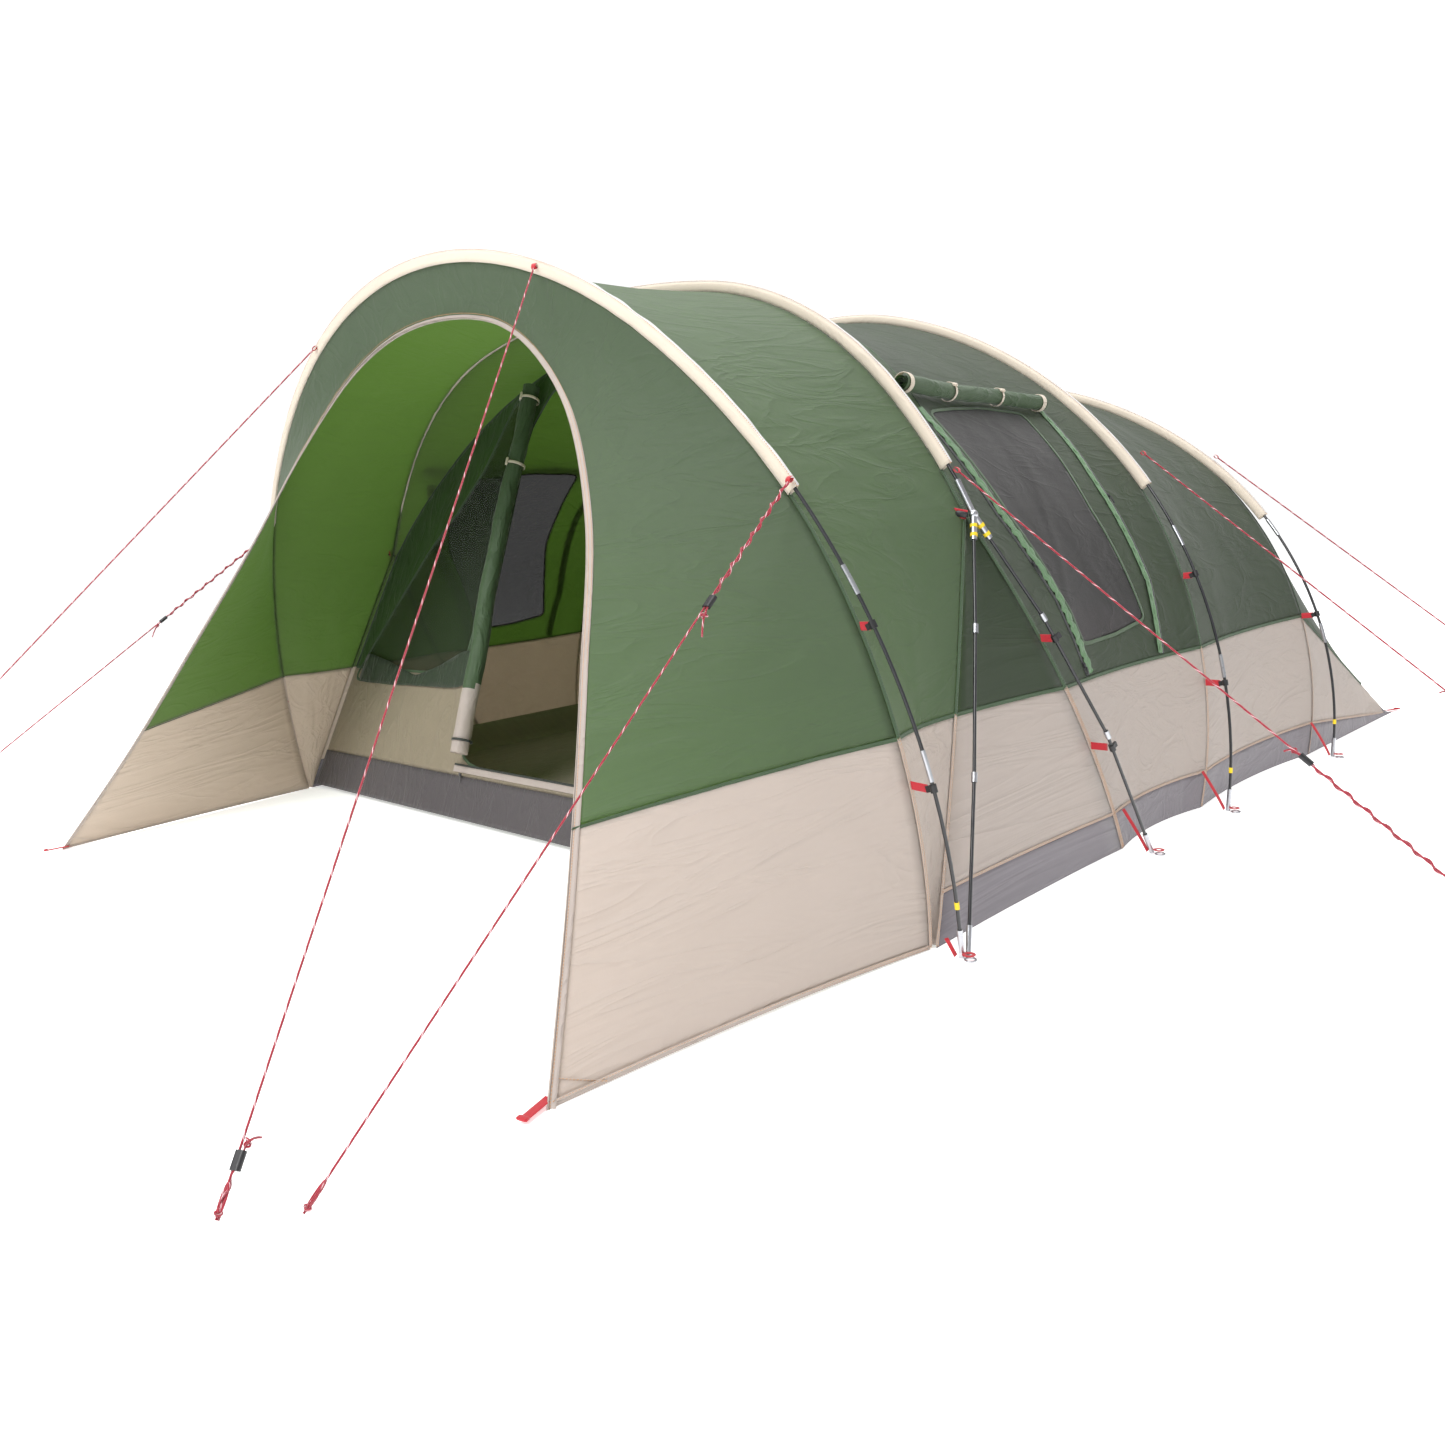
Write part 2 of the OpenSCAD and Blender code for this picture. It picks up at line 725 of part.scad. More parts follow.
// Half width of the wall at heights above the junctions
wall_half = [[1075, 1554], [1300, 1400], [1500, 1205], [1700, 900], [1800, 650], [1860, 390]];

function wall_half_w(z) =
  z <= junction_h ? leg_rib_point(z, false)[0] - 12 : lookup(z, wall_half);
function wall_point(k, z, back) =
  let (
    half = wall_half_w(z),
    c = wall_columns[k],
    x = abs(c) == 1 ? half : min(abs(c), half * wall_shares[k])
  ) [sign(c) * x, wall_foot_y + wall_slope * z + back, z];
function wall_rows(heights, back) =
  [for (z = heights) [for (k = [0:len(wall_columns) - 1]) wall_point(k, z, back)]];

door_wall_z = [skirt_h + seam, 900, junction_h, 1300, 1500, door_top, 1860];
module door_wall() {
  on = function (i, j) !(i < 5 && j == 3) && !(i < 4 && j == 1);
  color(side_colour) skin(wall_rows(door_wall_z, cloth_t), wall_rows(door_wall_z, 0), on);
}

base_z = [4, sill_h, skirt_h - seam];
module door_wall_base() {
  on = function (i, j) !(i == 1 && j == 3);
  color(pale_colour) skin(wall_rows(base_z, cloth_t), wall_rows(base_z, 0), on);
}

module wall_window() {
  heights = [skirt_h + 2 * seam, 900, junction_h, 1300, 1500 - seam];
  rows = function (back)
    [for (z = heights) [wall_point(1, z, back) + [4, 0, 0], wall_point(2, z, back) - [4, 0, 0]]];
  color("gray") skin(rows(cloth_t), rows(0), all_cells);
}

// The door, rolled to the left and hanging in front of the wall
door_roll_r = 42;
door_roll_low = [-535, -1210, 250];
door_roll_high = [-660, -565, 1700];
module door_roll() {
  color("seagreen") bar(door_roll_low, door_roll_high, door_roll_r);
}

// ---- Trim ----

module opening_tape() {
  steps = 24;
  color(pale_colour)
    skin(
      [for (o = [0, 14]) whole([for (k = [0:steps]) mouth_point(6 * k / steps) + [0, -7 - o, 2]])],
      [for (o = [0, 14]) whole([for (k = [0:steps]) mouth_point(6 * k / steps) + [0, -7 - o, -3]])],
      all_cells
    );
}

module corner_straps() {
  color(strap_colour)
    both_sides() {
      translate([1628, -2464, 2]) cube([24, 26, 3]);
      translate([hem_half_w - 20, rear_hem_y + 5, 2]) cube([24, 57, 3]);
    }
}

// ---- Guy lines: attachment point and ground point of each rope ----

guy_route = [
  [[690, -1535, 1850], [1500, -3010, 5]],
  [[1520, -1460, 1190], [1600, -2900, 5]],
  [[-690, -1535, 1850], [-1910, -3260, 5]],
  [[-1520, -1460, 1190], [-1830, -3160, 5]],
  [[1565, -790, 1195], [2900, -590, 5]],
  [[1460, 590, 1235], [2900, 560, 5]],
  [[1350, 1520, 1220], [2750, 1660, 5]],
  [[-1565, -790, 1195], [-2700, -590, 5]],
  [[-1460, 590, 1235], [-2700, 560, 5]],
  [[-1350, 1520, 1220], [-2700, 1660, 5]]
];
// Distance of each runner's middle from the rope's top
runner_place = [2400, 410, 2100, 545, 1150, 1300, 1300, 1150, 1300, 1300];
rope_rings = 8;

function guy_axis(k) = (guy_route[k][1] - guy_route[k][0]) / norm(guy_route[k][1] - guy_route[k][0]);
// Two directions across the rope, the second as near level as it can be
function guy_across(k) =
  let (d = guy_axis(k), side = cross(d, [0, 0, 1])) [cross(side, d) / norm(side), side / norm(side)];

module guy_line(k) {
  a = guy_route[k][0];
  b = guy_route[k][1];
  across = guy_across(k);
  sides = 8;
  ring = function (t) [
    for (q = [0:sides - 1])
      lerp(a, b, t) + rope_d / 2 * (across[0] * cos(360 * q / sides) + across[1] * sin(360 * q / sides))
  ];
  points = [for (i = [0:rope_rings - 1]) each ring(i / (rope_rings - 1))];
  faces = concat(
    [[for (q = [0:sides - 1]) q]],
    [for (i = [0:rope_rings - 2]) for (q = [0:sides - 1])
      let (p = i * sides + q, r = i * sides + (q + 1) % sides)
      each [[p, p + sides, r], [r, p + sides, r + sides]]],
    [[for (q = [sides - 1:-1:0]) (rope_rings - 1) * sides + q]]
  );
  color("indianred") polyhedron(points = points, faces = faces, convexity = 2);
}

// A runner is an oblong block with one hole for each strand of the rope
strand_gap = 9;
module runner(k) {
  a = guy_route[k][0];
  b = guy_route[k][1];
  color("black")
    aimed(a + guy_axis(k) * (runner_place[k] - runner_len / 2), b)
      difference() {
        linear_extrude(runner_len)
          union() {
            circle(6.5);
            translate([0, strand_gap]) circle(6.5);
            translate([-6.5, 0]) square([13, strand_gap]);
          }
        for (y = [0, strand_gap])
          translate([0, y, -1]) cylinder(h = runner_len + 2, r = rope_d / 2 + 0.6);
      }
}

// Webbing loops on the sleeves that the ropes are tied to
loop_r = 7;
// How far a loop's middle is beyond the rope's end
loop_ahead = 1;
module guy_loops() {
  color(strap_colour)
    for (k = [0:9])
      aimed(guy_route[k][0] - guy_axis(k) * -loop_ahead, guy_route[k][1])
        rotate([90, 0, 0])
          difference() {
            cylinder(h = 5, r = loop_r, center = true);
            cylinder(h = 7, r = loop_r - 4.5, center = true);
          }
}

// Slider of the zip along the sill, parked at the door's left
zip_y = wall_foot_y + wall_slope * (sill_h - 48) - 2;
module door_zip_slider() {
  color("dimgray")
    translate([door_left + 60, zip_y - 7, sill_h - 22]) {
      cube([14, 5, 12]);
      translate([5, -2, -26]) cube([4, 2, 34]);
    }
}

front_hoop_rods();
second_hoop_rods();
second_hoop_legs();
third_hoop_rods();
rear_hoop_rods();
pole_ferrules();
pole_junctions();
foot_tubes();
foot_rings();
foot_straps();
pole_clips();
clip_tabs();
pole_bands();
wing_canopy();
wing_skirts();
porch_canopy();
side_gussets();
window_canopy();
window_panels();
window_flap_rolls();
roll_ties();
rear_canopy();
end_canopy();
lower_skirts();
end_skirt();
mud_flaps();
groundsheet();
front_sleeve();
second_sleeve();
third_sleeve();
rear_sleeve();
door_wall();
door_wall_base();
door_roll();
wall_window();
opening_tape();
corner_straps();
guy_loops();
door_zip_slider();
guy_line(0);  // guy_line_1
guy_line(1);  // guy_line_2
guy_line(2);  // guy_line_3
guy_line(3);  // guy_line_4
guy_line(4);  // guy_line_5
guy_line(5);  // guy_line_6
guy_line(6);  // guy_line_7
guy_line(7);  // guy_line_8
guy_line(8);  // guy_line_9
guy_line(9);  // guy_line_10
runner(0);  // runner_1
runner(1);  // runner_2
runner(2);  // runner_3
runner(3);  // runner_4
runner(4);  // runner_5
runner(5);  // runner_6
runner(6);  // runner_7
runner(7);  // runner_8
runner(8);  // runner_9
runner(9);  // runner_10
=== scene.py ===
"""A family tunnel tent on four bent pole hoops, pitched, with its porch open."""

import json
import math

import bpy
import numpy as np
from mathutils import Matrix, Vector

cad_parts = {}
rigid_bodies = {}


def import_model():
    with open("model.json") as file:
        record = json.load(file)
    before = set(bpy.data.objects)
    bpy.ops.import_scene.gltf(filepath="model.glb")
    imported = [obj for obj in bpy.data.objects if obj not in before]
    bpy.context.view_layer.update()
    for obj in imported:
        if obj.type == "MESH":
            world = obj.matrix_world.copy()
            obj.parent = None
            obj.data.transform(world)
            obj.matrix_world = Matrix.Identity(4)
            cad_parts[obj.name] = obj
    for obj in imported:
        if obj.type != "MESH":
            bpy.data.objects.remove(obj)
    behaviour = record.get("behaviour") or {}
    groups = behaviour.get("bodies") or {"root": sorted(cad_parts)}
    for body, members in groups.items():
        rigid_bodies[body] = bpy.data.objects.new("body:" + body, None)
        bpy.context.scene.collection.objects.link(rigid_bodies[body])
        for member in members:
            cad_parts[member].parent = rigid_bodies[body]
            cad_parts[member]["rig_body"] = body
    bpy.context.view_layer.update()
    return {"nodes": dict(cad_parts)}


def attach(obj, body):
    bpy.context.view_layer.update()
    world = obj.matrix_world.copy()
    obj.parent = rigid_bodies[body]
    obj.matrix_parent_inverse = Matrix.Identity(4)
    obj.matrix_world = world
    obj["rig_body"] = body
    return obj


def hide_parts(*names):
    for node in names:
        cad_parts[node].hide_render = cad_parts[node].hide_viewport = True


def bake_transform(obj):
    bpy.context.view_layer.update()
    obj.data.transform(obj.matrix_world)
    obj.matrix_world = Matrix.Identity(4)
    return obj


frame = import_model()
nodes = frame["nodes"]
TENT = "tent"


def vec(*numbers):
    return np.array(numbers, float)


def unit(v):
    v = np.asarray(v, float)
    return v / max(np.linalg.norm(v), 1e-12)


def lerp(a, b, t):
    return a + (b - a) * t


# ---- Camera ----

camera = bpy.data.objects.new("camera", bpy.data.cameras.new("camera"))
bpy.context.scene.collection.objects.link(camera)
bpy.context.scene.camera = camera
YAW, PITCH, ROLL = 0.8344, 0.163, -0.0763
sight = vec(-math.sin(YAW) * math.cos(PITCH), math.cos(YAW) * math.cos(PITCH), -math.sin(PITCH))
level_right = unit(np.cross(sight, (0, 0, 1)))
level_up = np.cross(level_right, sight)
right = level_right * math.cos(ROLL) + level_up * math.sin(ROLL)
up = -level_right * math.sin(ROLL) + level_up * math.cos(ROLL)
camera.matrix_world = Matrix((
    (right[0], up[0], -sight[0], 3.3607),
    (right[1], up[1], -sight[1], -3.5812),
    (right[2], up[2], -sight[2], 1.1015),
    (0, 0, 0, 1),
))
camera.data.sensor_width = 36
camera.data.lens = 28.19
camera.data.shift_x = 0.0386
camera.data.shift_y = -0.0054
camera.data.clip_end = 200
bpy.context.scene.view_settings.view_transform = "Standard"


def nodes_of(material):
    material.use_nodes = True
    return material.node_tree


def add(tree, kind, inputs=None, **settings):
    """Adds a node. An input is a number, a colour or another node's output."""
    made = tree.nodes.new("ShaderNode" + kind)
    for key, value in settings.items():
        setattr(made, key, value)
    for key, value in (inputs or {}).items():
        if isinstance(value, bpy.types.NodeSocket):
            tree.links.new(value, made.inputs[key])
        else:
            made.inputs[key].default_value = value
    return made


def colour(r, g, b):
    """A colour given as it looks on a screen, 0 to 255."""
    parts = [c / 255 for c in (r, g, b)]
    return tuple(c / 12.92 if c <= 0.04045 else ((c + 0.055) / 1.055) ** 2.4 for c in parts) + (1.0,)


def mixed(tree, share, a, b):
    """Colour a turning into colour b as share goes from 0 to 1."""
    made = add(tree, "Mix", {0: share, 6: a, 7: b}, data_type="RGBA")
    return made.outputs[2]


def maths(tree, kind, *values):
    made = tree.nodes.new("ShaderNodeMath")
    made.operation = kind
    for k, value in enumerate(values):
        if isinstance(value, bpy.types.NodeSocket):
            tree.links.new(value, made.inputs[k])
        else:
            made.inputs[k].default_value = value
    return made.outputs[0]


def bump(tree, height, distance, strength=1.0, under=None):
    inputs = {"Height": height, "Distance": distance, "Strength": strength}
    if under is not None:
        inputs["Normal"] = under
    return add(tree, "Bump", inputs).outputs[0]


def finish_of(name):
    material = bpy.data.materials.new(name)
    tree = nodes_of(material)
    return material, tree, tree.nodes["Principled BSDF"], tree.nodes["Material Output"]


def stretched(tree, source, across, along):
    """Coordinates scaled to so many cycles a metre in each direction."""
    return add(tree, "Mapping", {"Vector": source, "Scale": (across, along, along)}).outputs[0]


# ---- Finishes ----

THREAD = 0.0016


def weave_height(tree, uv, pitch):
    """Plain weave: warp and weft ridges that pass over each other."""
    warp = add(tree, "TexWave", {"Vector": stretched(tree, uv, 1 / pitch, 0), "Scale": 0.3183},
               wave_profile="SIN", bands_direction="X").outputs["Fac"]
    weft = add(tree, "TexWave", {"Vector": stretched(tree, uv, 0, 1 / pitch), "Scale": 0.3183},
               wave_profile="SIN", bands_direction="Y").outputs["Fac"]
    return maths(tree, "MULTIPLY", warp, weft)


def cloth(name, face, shade, through, share, crease=0.004, roughness=0.62, pitch=THREAD, clear=0.0):
    """Coated woven cloth. through is the colour of light that comes through it, and share how much."""
    material, tree, shader, out = finish_of(name)
    uv = add(tree, "TexCoord").outputs["UV"]
    cloud = add(tree, "TexNoise", {"Vector": uv, "Scale": 1.1, "Detail": 3.0, "Roughness": 0.55}).outputs["Fac"]
    grain = add(tree, "TexNoise", {"Vector": uv, "Scale": 55.0, "Detail": 4.0, "Roughness": 0.7}).outputs["Fac"]
    weave = weave_height(tree, uv, pitch)
    mottle = maths(tree, "ADD", maths(tree, "MULTIPLY", cloud, 0.75), maths(tree, "MULTIPLY", grain, 0.35))
    base = mixed(tree, maths(tree, "MULTIPLY_ADD", mottle, 1.6, -0.45), face, shade)
    tint = mixed(tree, maths(tree, "MULTIPLY", weave, 0.14), base, shade)
    tree.links.new(tint, shader.inputs["Base Color"])
    soft = add(tree, "TexNoise", {"Vector": stretched(tree, uv, 1.5, 2.4), "Scale": 1.0, "Detail": 2.0,
                                  "Distortion": 0.8}).outputs["Fac"]
    long_fold = add(tree, "TexNoise", {"Vector": stretched(tree, uv, 9.0, 3.2), "Scale": 1.0, "Detail": 3.0,
                                       "Distortion": 1.4}).outputs["Fac"]
    ridge = maths(tree, "POWER", maths(tree, "SUBTRACT", 1.0, maths(
        tree, "ABSOLUTE", maths(tree, "MULTIPLY_ADD", long_fold, 2.0, -1.0))), 5.0)
    normal = bump(tree, soft, 0.05, 0.35)
    normal = bump(tree, ridge, crease, 0.55, normal)
    normal = bump(tree, grain, 0.0006, 0.5, normal)
    normal = bump(tree, weave, 0.00012, 0.6, normal)
    tree.links.new(normal, shader.inputs["Normal"])
    rough = maths(tree, "MULTIPLY_ADD", grain, 0.16, roughness - 0.08)
    tree.links.new(rough, shader.inputs["Roughness"])
    shader.inputs["Sheen Weight"].default_value = 0.2
    shader.inputs["Sheen Roughness"].default_value = 0.4
    shader.inputs["Specular IOR Level"].default_value = 0.45
    back = add(tree, "BsdfTranslucent", {"Color": through, "Normal": normal})
    both = add(tree, "MixShader", {0: share, 1: shader.outputs[0], 2: back.outputs[0]})
    last = both.outputs[0]
    if clear > 0:
        open_weave = add(tree, "BsdfTransparent", {"Color": (0.93, 0.93, 0.94, 1.0)})
        last = add(tree, "MixShader", {0: clear, 1: last, 2: open_weave.outputs[0]}).outputs[0]
    tree.links.new(last, out.inputs["Surface"])
    return material


def hard(name, face, shade, roughness, metal=0.0, scale=60.0, depth=0.0003, coat=0.0, stretch=1.0):
    """Moulded, drawn or painted stock, with a fine grain and slight wear."""
    material, tree, shader, _ = finish_of(name)
    place = add(tree, "TexCoord").outputs["Object"]
    place = add(tree, "Mapping", {"Vector": place, "Scale": (1.0, 1.0, stretch)}).outputs[0]
    grain = add(tree, "TexNoise", {"Vector": place, "Scale": scale, "Detail": 5.0, "Roughness": 0.65}).outputs["Fac"]
    wear = add(tree, "TexNoise", {"Vector": place, "Scale": scale * 0.12, "Detail": 3.0}).outputs["Fac"]
    tree.links.new(mixed(tree, maths(tree, "MULTIPLY_ADD", wear, 1.8, -0.5), face, shade), shader.inputs["Base Color"])
    tree.links.new(maths(tree, "MULTIPLY_ADD", grain, 0.22, roughness - 0.11), shader.inputs["Roughness"])
    tree.links.new(bump(tree, grain, depth, 0.5), shader.inputs["Normal"])
    shader.inputs["Metallic"].default_value = metal
    shader.inputs["Coat Weight"].default_value = coat
    return material


def webbing(name, face, shade, rib=0.0022):
    """Narrow woven tape: ribs across it, a fine diagonal weave and a fuzz."""
    material, tree, shader, _ = finish_of(name)
    uv = add(tree, "TexCoord").outputs["UV"]
    ribs = add(tree, "TexWave", {"Vector": stretched(tree, uv, 0, 1 / rib), "Scale": 0.3183},
               bands_direction="Y").outputs["Fac"]
    diagonal = add(tree, "TexWave", {"Vector": stretched(tree, uv, 1 / rib, 1 / rib), "Scale": 0.3183},
                   bands_direction="DIAGONAL").outputs["Fac"]
    fuzz = add(tree, "TexNoise", {"Vector": uv, "Scale": 420.0, "Detail": 3.0}).outputs["Fac"]
    height = maths(tree, "ADD", maths(tree, "MULTIPLY", ribs, 0.6), maths(tree, "MULTIPLY", diagonal, 0.4))
    tree.links.new(mixed(tree, maths(tree, "MULTIPLY", height, 0.5), face, shade), shader.inputs["Base Color"])
    tree.links.new(bump(tree, fuzz, 0.0003, 0.4, bump(tree, height, 0.0004, 0.8)), shader.inputs["Normal"])
    shader.inputs["Roughness"].default_value = 0.7
    shader.inputs["Sheen Weight"].default_value = 0.25
    return material


def braid(name, face, fleck, turns=0.028, picks=6):
    """Braided rope. Its UV runs round the rope in u and along it, in metres, in v."""
    material, tree, shader, _ = finish_of(name)
    uv = add(tree, "TexCoord").outputs["UV"]
    parts = add(tree, "SeparateXYZ", {"Vector": uv})
    around, along = parts.outputs[0], maths(tree, "MULTIPLY", parts.outputs[1], 1 / turns)
    one = maths(tree, "SINE", maths(tree, "MULTIPLY", maths(
        tree, "MULTIPLY_ADD", around, picks, along), 2 * math.pi))
    two = maths(tree, "SINE", maths(tree, "MULTIPLY", maths(
        tree, "SUBTRACT", maths(tree, "MULTIPLY", around, picks), along), 2 * math.pi))
    height = maths(tree, "MAXIMUM", one, two)
    marks = maths(tree, "SINE", maths(tree, "MULTIPLY", maths(
        tree, "ADD", around, maths(tree, "MULTIPLY", along, 0.5)), 2 * math.pi))
    white = maths(tree, "GREATER_THAN", marks, 0.93)
    tree.links.new(mixed(tree, white, mixed(tree, maths(tree, "MULTIPLY_ADD", height, 0.3, 0.3), face,
                                            tuple(c * 0.45 for c in face[:3]) + (1.0,)), fleck),
                   shader.inputs["Base Color"])
    tree.links.new(bump(tree, height, 0.0006, 0.8), shader.inputs["Normal"])
    shader.inputs["Roughness"].default_value = 0.75
    shader.inputs["Sheen Weight"].default_value = 0.3
    return material


GREEN_OUT = cloth("green_cloth", colour(88, 102, 82), colour(79, 91, 74), colour(172, 205, 125), 0.4)
# Painted shade: the same green cloth with a darker base, for the gusset, bay, rear and end walls, which face away from
# the key light.
GREEN_SHADED = cloth("green_cloth_painted_shade", colour(61, 72, 55), colour(53, 63, 48), colour(150, 180, 105), 0.36)
# The inside face of the green cloth, with a brighter, yellower base than the outside. This is partly the inner face's
# own tone and partly painted light standing in for light through the cloth.
GREEN_IN_PAINTED_LIGHT = cloth("green_cloth_inside_painted_light", colour(102, 118, 78), colour(90, 106, 68), colour(162, 194, 118), 0.56)
PALE_OUT = cloth("pale_cloth", colour(196, 186, 180), colour(187, 176, 169), colour(236, 222, 204), 0.3, 0.006)
# The inside face of the pale cloth, with a brighter base than the outside. This is partly the inner face's own tone and
# partly painted light standing in for light through the cloth.
PALE_IN_PAINTED_LIGHT = cloth("pale_cloth_inside_painted_light", colour(212, 200, 186), colour(201, 188, 174), colour(236, 222, 206), 0.4, 0.006)
GREY = cloth("grey_cloth", colour(130, 125, 130), colour(117, 112, 118), colour(150, 146, 150), 0.08, 0.006)
FLOOR_CLOTH = cloth("groundsheet_cloth", colour(176, 166, 146), colour(158, 148, 130), colour(90, 92, 88), 0.04, 0.006)
SLEEVE = cloth("sleeve_cloth", colour(232, 222, 206), colour(222, 210, 194), colour(240, 228, 210), 0.25, 0.003, 0.7)
SLEEVE_EDGE = cloth("sleeve_edge", colour(244, 243, 241), colour(234, 232, 230), colour(244, 244, 244), 0.4, 0.002, 0.6)
PANE = cloth("window_pane", colour(44, 40, 42), colour(38, 34, 36), colour(100, 100, 102), 0.12, 0.002, 0.45,
             0.0022, 0.2)
MESH = cloth("window_mesh", colour(44, 58, 36), colour(36, 50, 30), colour(70, 100, 48), 0.2, 0.003, 0.7,
             0.0022, 0.45)
ROLLED = cloth("rolled_cloth", colour(74, 96, 66), colour(58, 78, 52), colour(70, 110, 50), 0.15, 0.008)
BINDING = cloth("binding_tape", colour(72, 92, 66), colour(60, 80, 56), colour(70, 110, 50), 0.05, 0.001, 0.7)
STITCHES = hard("thread", colour(214, 170, 128), colour(196, 150, 108), 0.8)
GREEN_THREAD = hard("green_thread", colour(70, 96, 66), colour(60, 84, 58), 0.8)
RODS = hard("pole_rod", colour(26, 27, 29), colour(40, 41, 44), 0.32, 0.0, 90.0, 0.0002, 0.35, 0.15)
STEEL = hard("steel", colour(196, 198, 202), colour(168, 170, 176), 0.3, 1.0, 120.0, 0.0001)
PLASTIC = hard("black_plastic", colour(24, 24, 26), colour(38, 38, 40), 0.45, 0.0, 200.0, 0.0002, 0.1)
YELLOW = hard("yellow_band", colour(236, 206, 40), colour(222, 188, 30), 0.5, 0.0, 150.0)
ZIP_METAL = hard("zip_metal", colour(120, 120, 122), colour(88, 88, 90), 0.35, 0.9, 200.0)
RED = webbing("red_webbing", colour(186, 24, 40), colour(140, 14, 28))
ROPE = braid("guy_rope", colour(186, 28, 56), colour(240, 200, 205))

# ---- Hoops and ribs, in the tent's own frame ----


class Hoop:
    """Three tangent arcs a side, in a plane that leans about its feet."""

    def __init__(self, half_w, high, foot_y, lean, bends, shoulder):
        a, b, c = (math.radians(x) for x in bends)
        tall = math.hypot(high, lean)
        m11, m12 = math.sin(a), math.sin(c) - math.sin(b)
        m21, m22 = 1 - math.cos(a), math.cos(b) - math.cos(c)
        u = half_w - shoulder * (math.sin(b) - math.sin(a))
        v = tall - shoulder * (math.cos(a) - math.cos(b))
        d = m11 * m22 - m12 * m21
        self.radii = [(u * m22 - m12 * v) / d, shoulder, (m11 * v - u * m21) / d]
        self.bends, self.tilt, self.foot_y = [a, b, c], math.atan2(lean, high), foot_y
        self.centres = [vec(0, tall - self.radii[0])]
        for k in (0, 1):
            step = self.radii[k] - self.radii[k + 1]
            self.centres.append(self.centres[k] + step * vec(math.sin(self.bends[k]), math.cos(self.bends[k])))
        self.ends = [0.0]
        for k in range(3):
            start = self.bends[k - 1] if k else 0.0
            self.ends.append(self.ends[-1] + self.radii[k] * (self.bends[k] - start))
        self.length = self.ends[3]

    def space(self, p):
        return vec(p[0], self.foot_y + p[1] * math.sin(self.tilt), p[1] * math.cos(self.tilt))

    def point(self, heading, inset=0.0):
        h = abs(heading)
        k = 0 if h <= self.bends[0] else 1 if h <= self.bends[1] else 2
        p = self.centres[k] + (self.radii[k] - inset) * vec(math.sin(h), math.cos(h))
        return self.space((math.copysign(p[0], heading), p[1]))

    def heading(self, s):
        t = abs(s)
        k = 0 if t <= self.ends[1] else 1 if t <= self.ends[2] else 2
        start = self.bends[k - 1] if k else 0.0
        return math.copysign(start + (t - self.ends[k]) / self.radii[k], s)

    def out(self, heading):
        """Unit vector away from the middle of the tent, in the hoop's plane."""
        return vec(math.sin(heading), math.cos(heading) * math.sin(self.tilt),
                   math.cos(heading) * math.cos(self.tilt))

    def side(self):
        """Unit vector square to the hoop's plane, towards the back of the tent."""
        return vec(0, math.cos(self.tilt), -math.sin(self.tilt))

    def heading_at(self, z, inset):
        v = z / math.cos(self.tilt)
        ends = [self.centres[k][1] + (self.radii[k] - inset) * math.cos(self.bends[k]) for k in (0, 1)]
        k = 2 if v < ends[1] else 1 if v < ends[0] else 0
        return math.acos((v - self.centres[k][1]) / (self.radii[k] - inset))


HALF_W = 1.85
FRONT = Hoop(HALF_W, 2.0, -1.29, -0.24, (37, 51, 93), 2.14)
SECOND = Hoop(HALF_W, 1.94, -0.795, 0.0, (11.5, 49.5, 93), 1.25)
THIRD = Hoop(HALF_W, 1.955, 0.35, 0.24, (16, 49, 93), 2.16)
REAR = Hoop(HALF_W + 0.02, 1.68, 1.34, 0.25, (40, 65.5, 92), 1.56)

JUNCTION = vec(1.61, -0.795, 1.075)
FRONT_FOOT = vec(1.858, -1.274, 0)
REAR_FOOT = vec(1.85, -0.235, 0)


def leg(rear, t):
    foot, bow = (REAR_FOOT, 0.06) if rear else (FRONT_FOOT, 0.012)
    return lerp(JUNCTION, foot, t) + vec(bow * 4 * t * (1 - t), 0, 0)


def gap(z):
    """From a pole's middle in to the cloth: wider near the ground, where clips hang it."""
    return 0.022 + 0.07 * max(0.0, 1 - z / 1.17)


LOW_Z = [0, 0.13, 0.555, 0.73, 0.9, 1.075]
LAST = 14.0  # a rib's places run from 0 on the ground to 14 at the top, and on to 28


def hoop_rib(hoop, u):
    if u <= 5:
        z = float(np.interp(u, range(6), LOW_Z))
        return hoop.point(hoop.heading_at(z, gap(z)), gap(z))
    start = hoop.heading_at(LOW_Z[5], gap(LOW_Z[5]))
    return hoop.point(start * (1 - (u - 5) / 9), lerp(gap(LOW_Z[5]), 0.022, min(1.0, u - 5)))


def fork_rib(rear, u):
    if u > 5:
        return hoop_rib(SECOND, u)
    z = float(np.interp(u, range(6), LOW_Z))
    p = leg(rear, 1 - z / JUNCTION[2])
    return vec(p[0] - gap(z), p[1], z)


MOUTH = [vec(*p) for p in (
    (1.640, -2.413, 0), (1.441, -2.161, 0.380), (1.245, -1.928, 0.776), (1.052, -1.717, 1.148),
    (0.805, -1.572, 1.490), (0.444, -1.496, 1.742), (0, -1.495, 1.817))]


def mouth(t):
    """The porch mouth's edge, from a ground corner at 0 to the middle of its top at 6."""
    i = min(int(t), 5)
    f = t - i

    def at(k):
        if k < 0:
            return 2 * MOUTH[0] - MOUTH[1]
        return MOUTH[12 - k] * vec(-1, 1, 1) if k > 6 else MOUTH[k]

    p, q, r, s = at(i - 1), at(i), at(i + 1), at(i + 2)
    return (2 * q + (r - p) * f + (2 * p - 5 * q + 4 * r - s) * f * f
            + (3 * q - p - 3 * r + s) * f ** 3) / 2


def mouth_rib(u):
    t = float(np.interp(u, range(6), [0, 0.34, 1.2, 1.7, 2.2, 2.7])) if u <= 5 else 2.7 + 3.3 * (u - 5) / 9
    return mouth(min(t, 6.0))


HEM_Y, HEM_HALF_W, HEM_STEP = 2.4, 1.795, 0.008


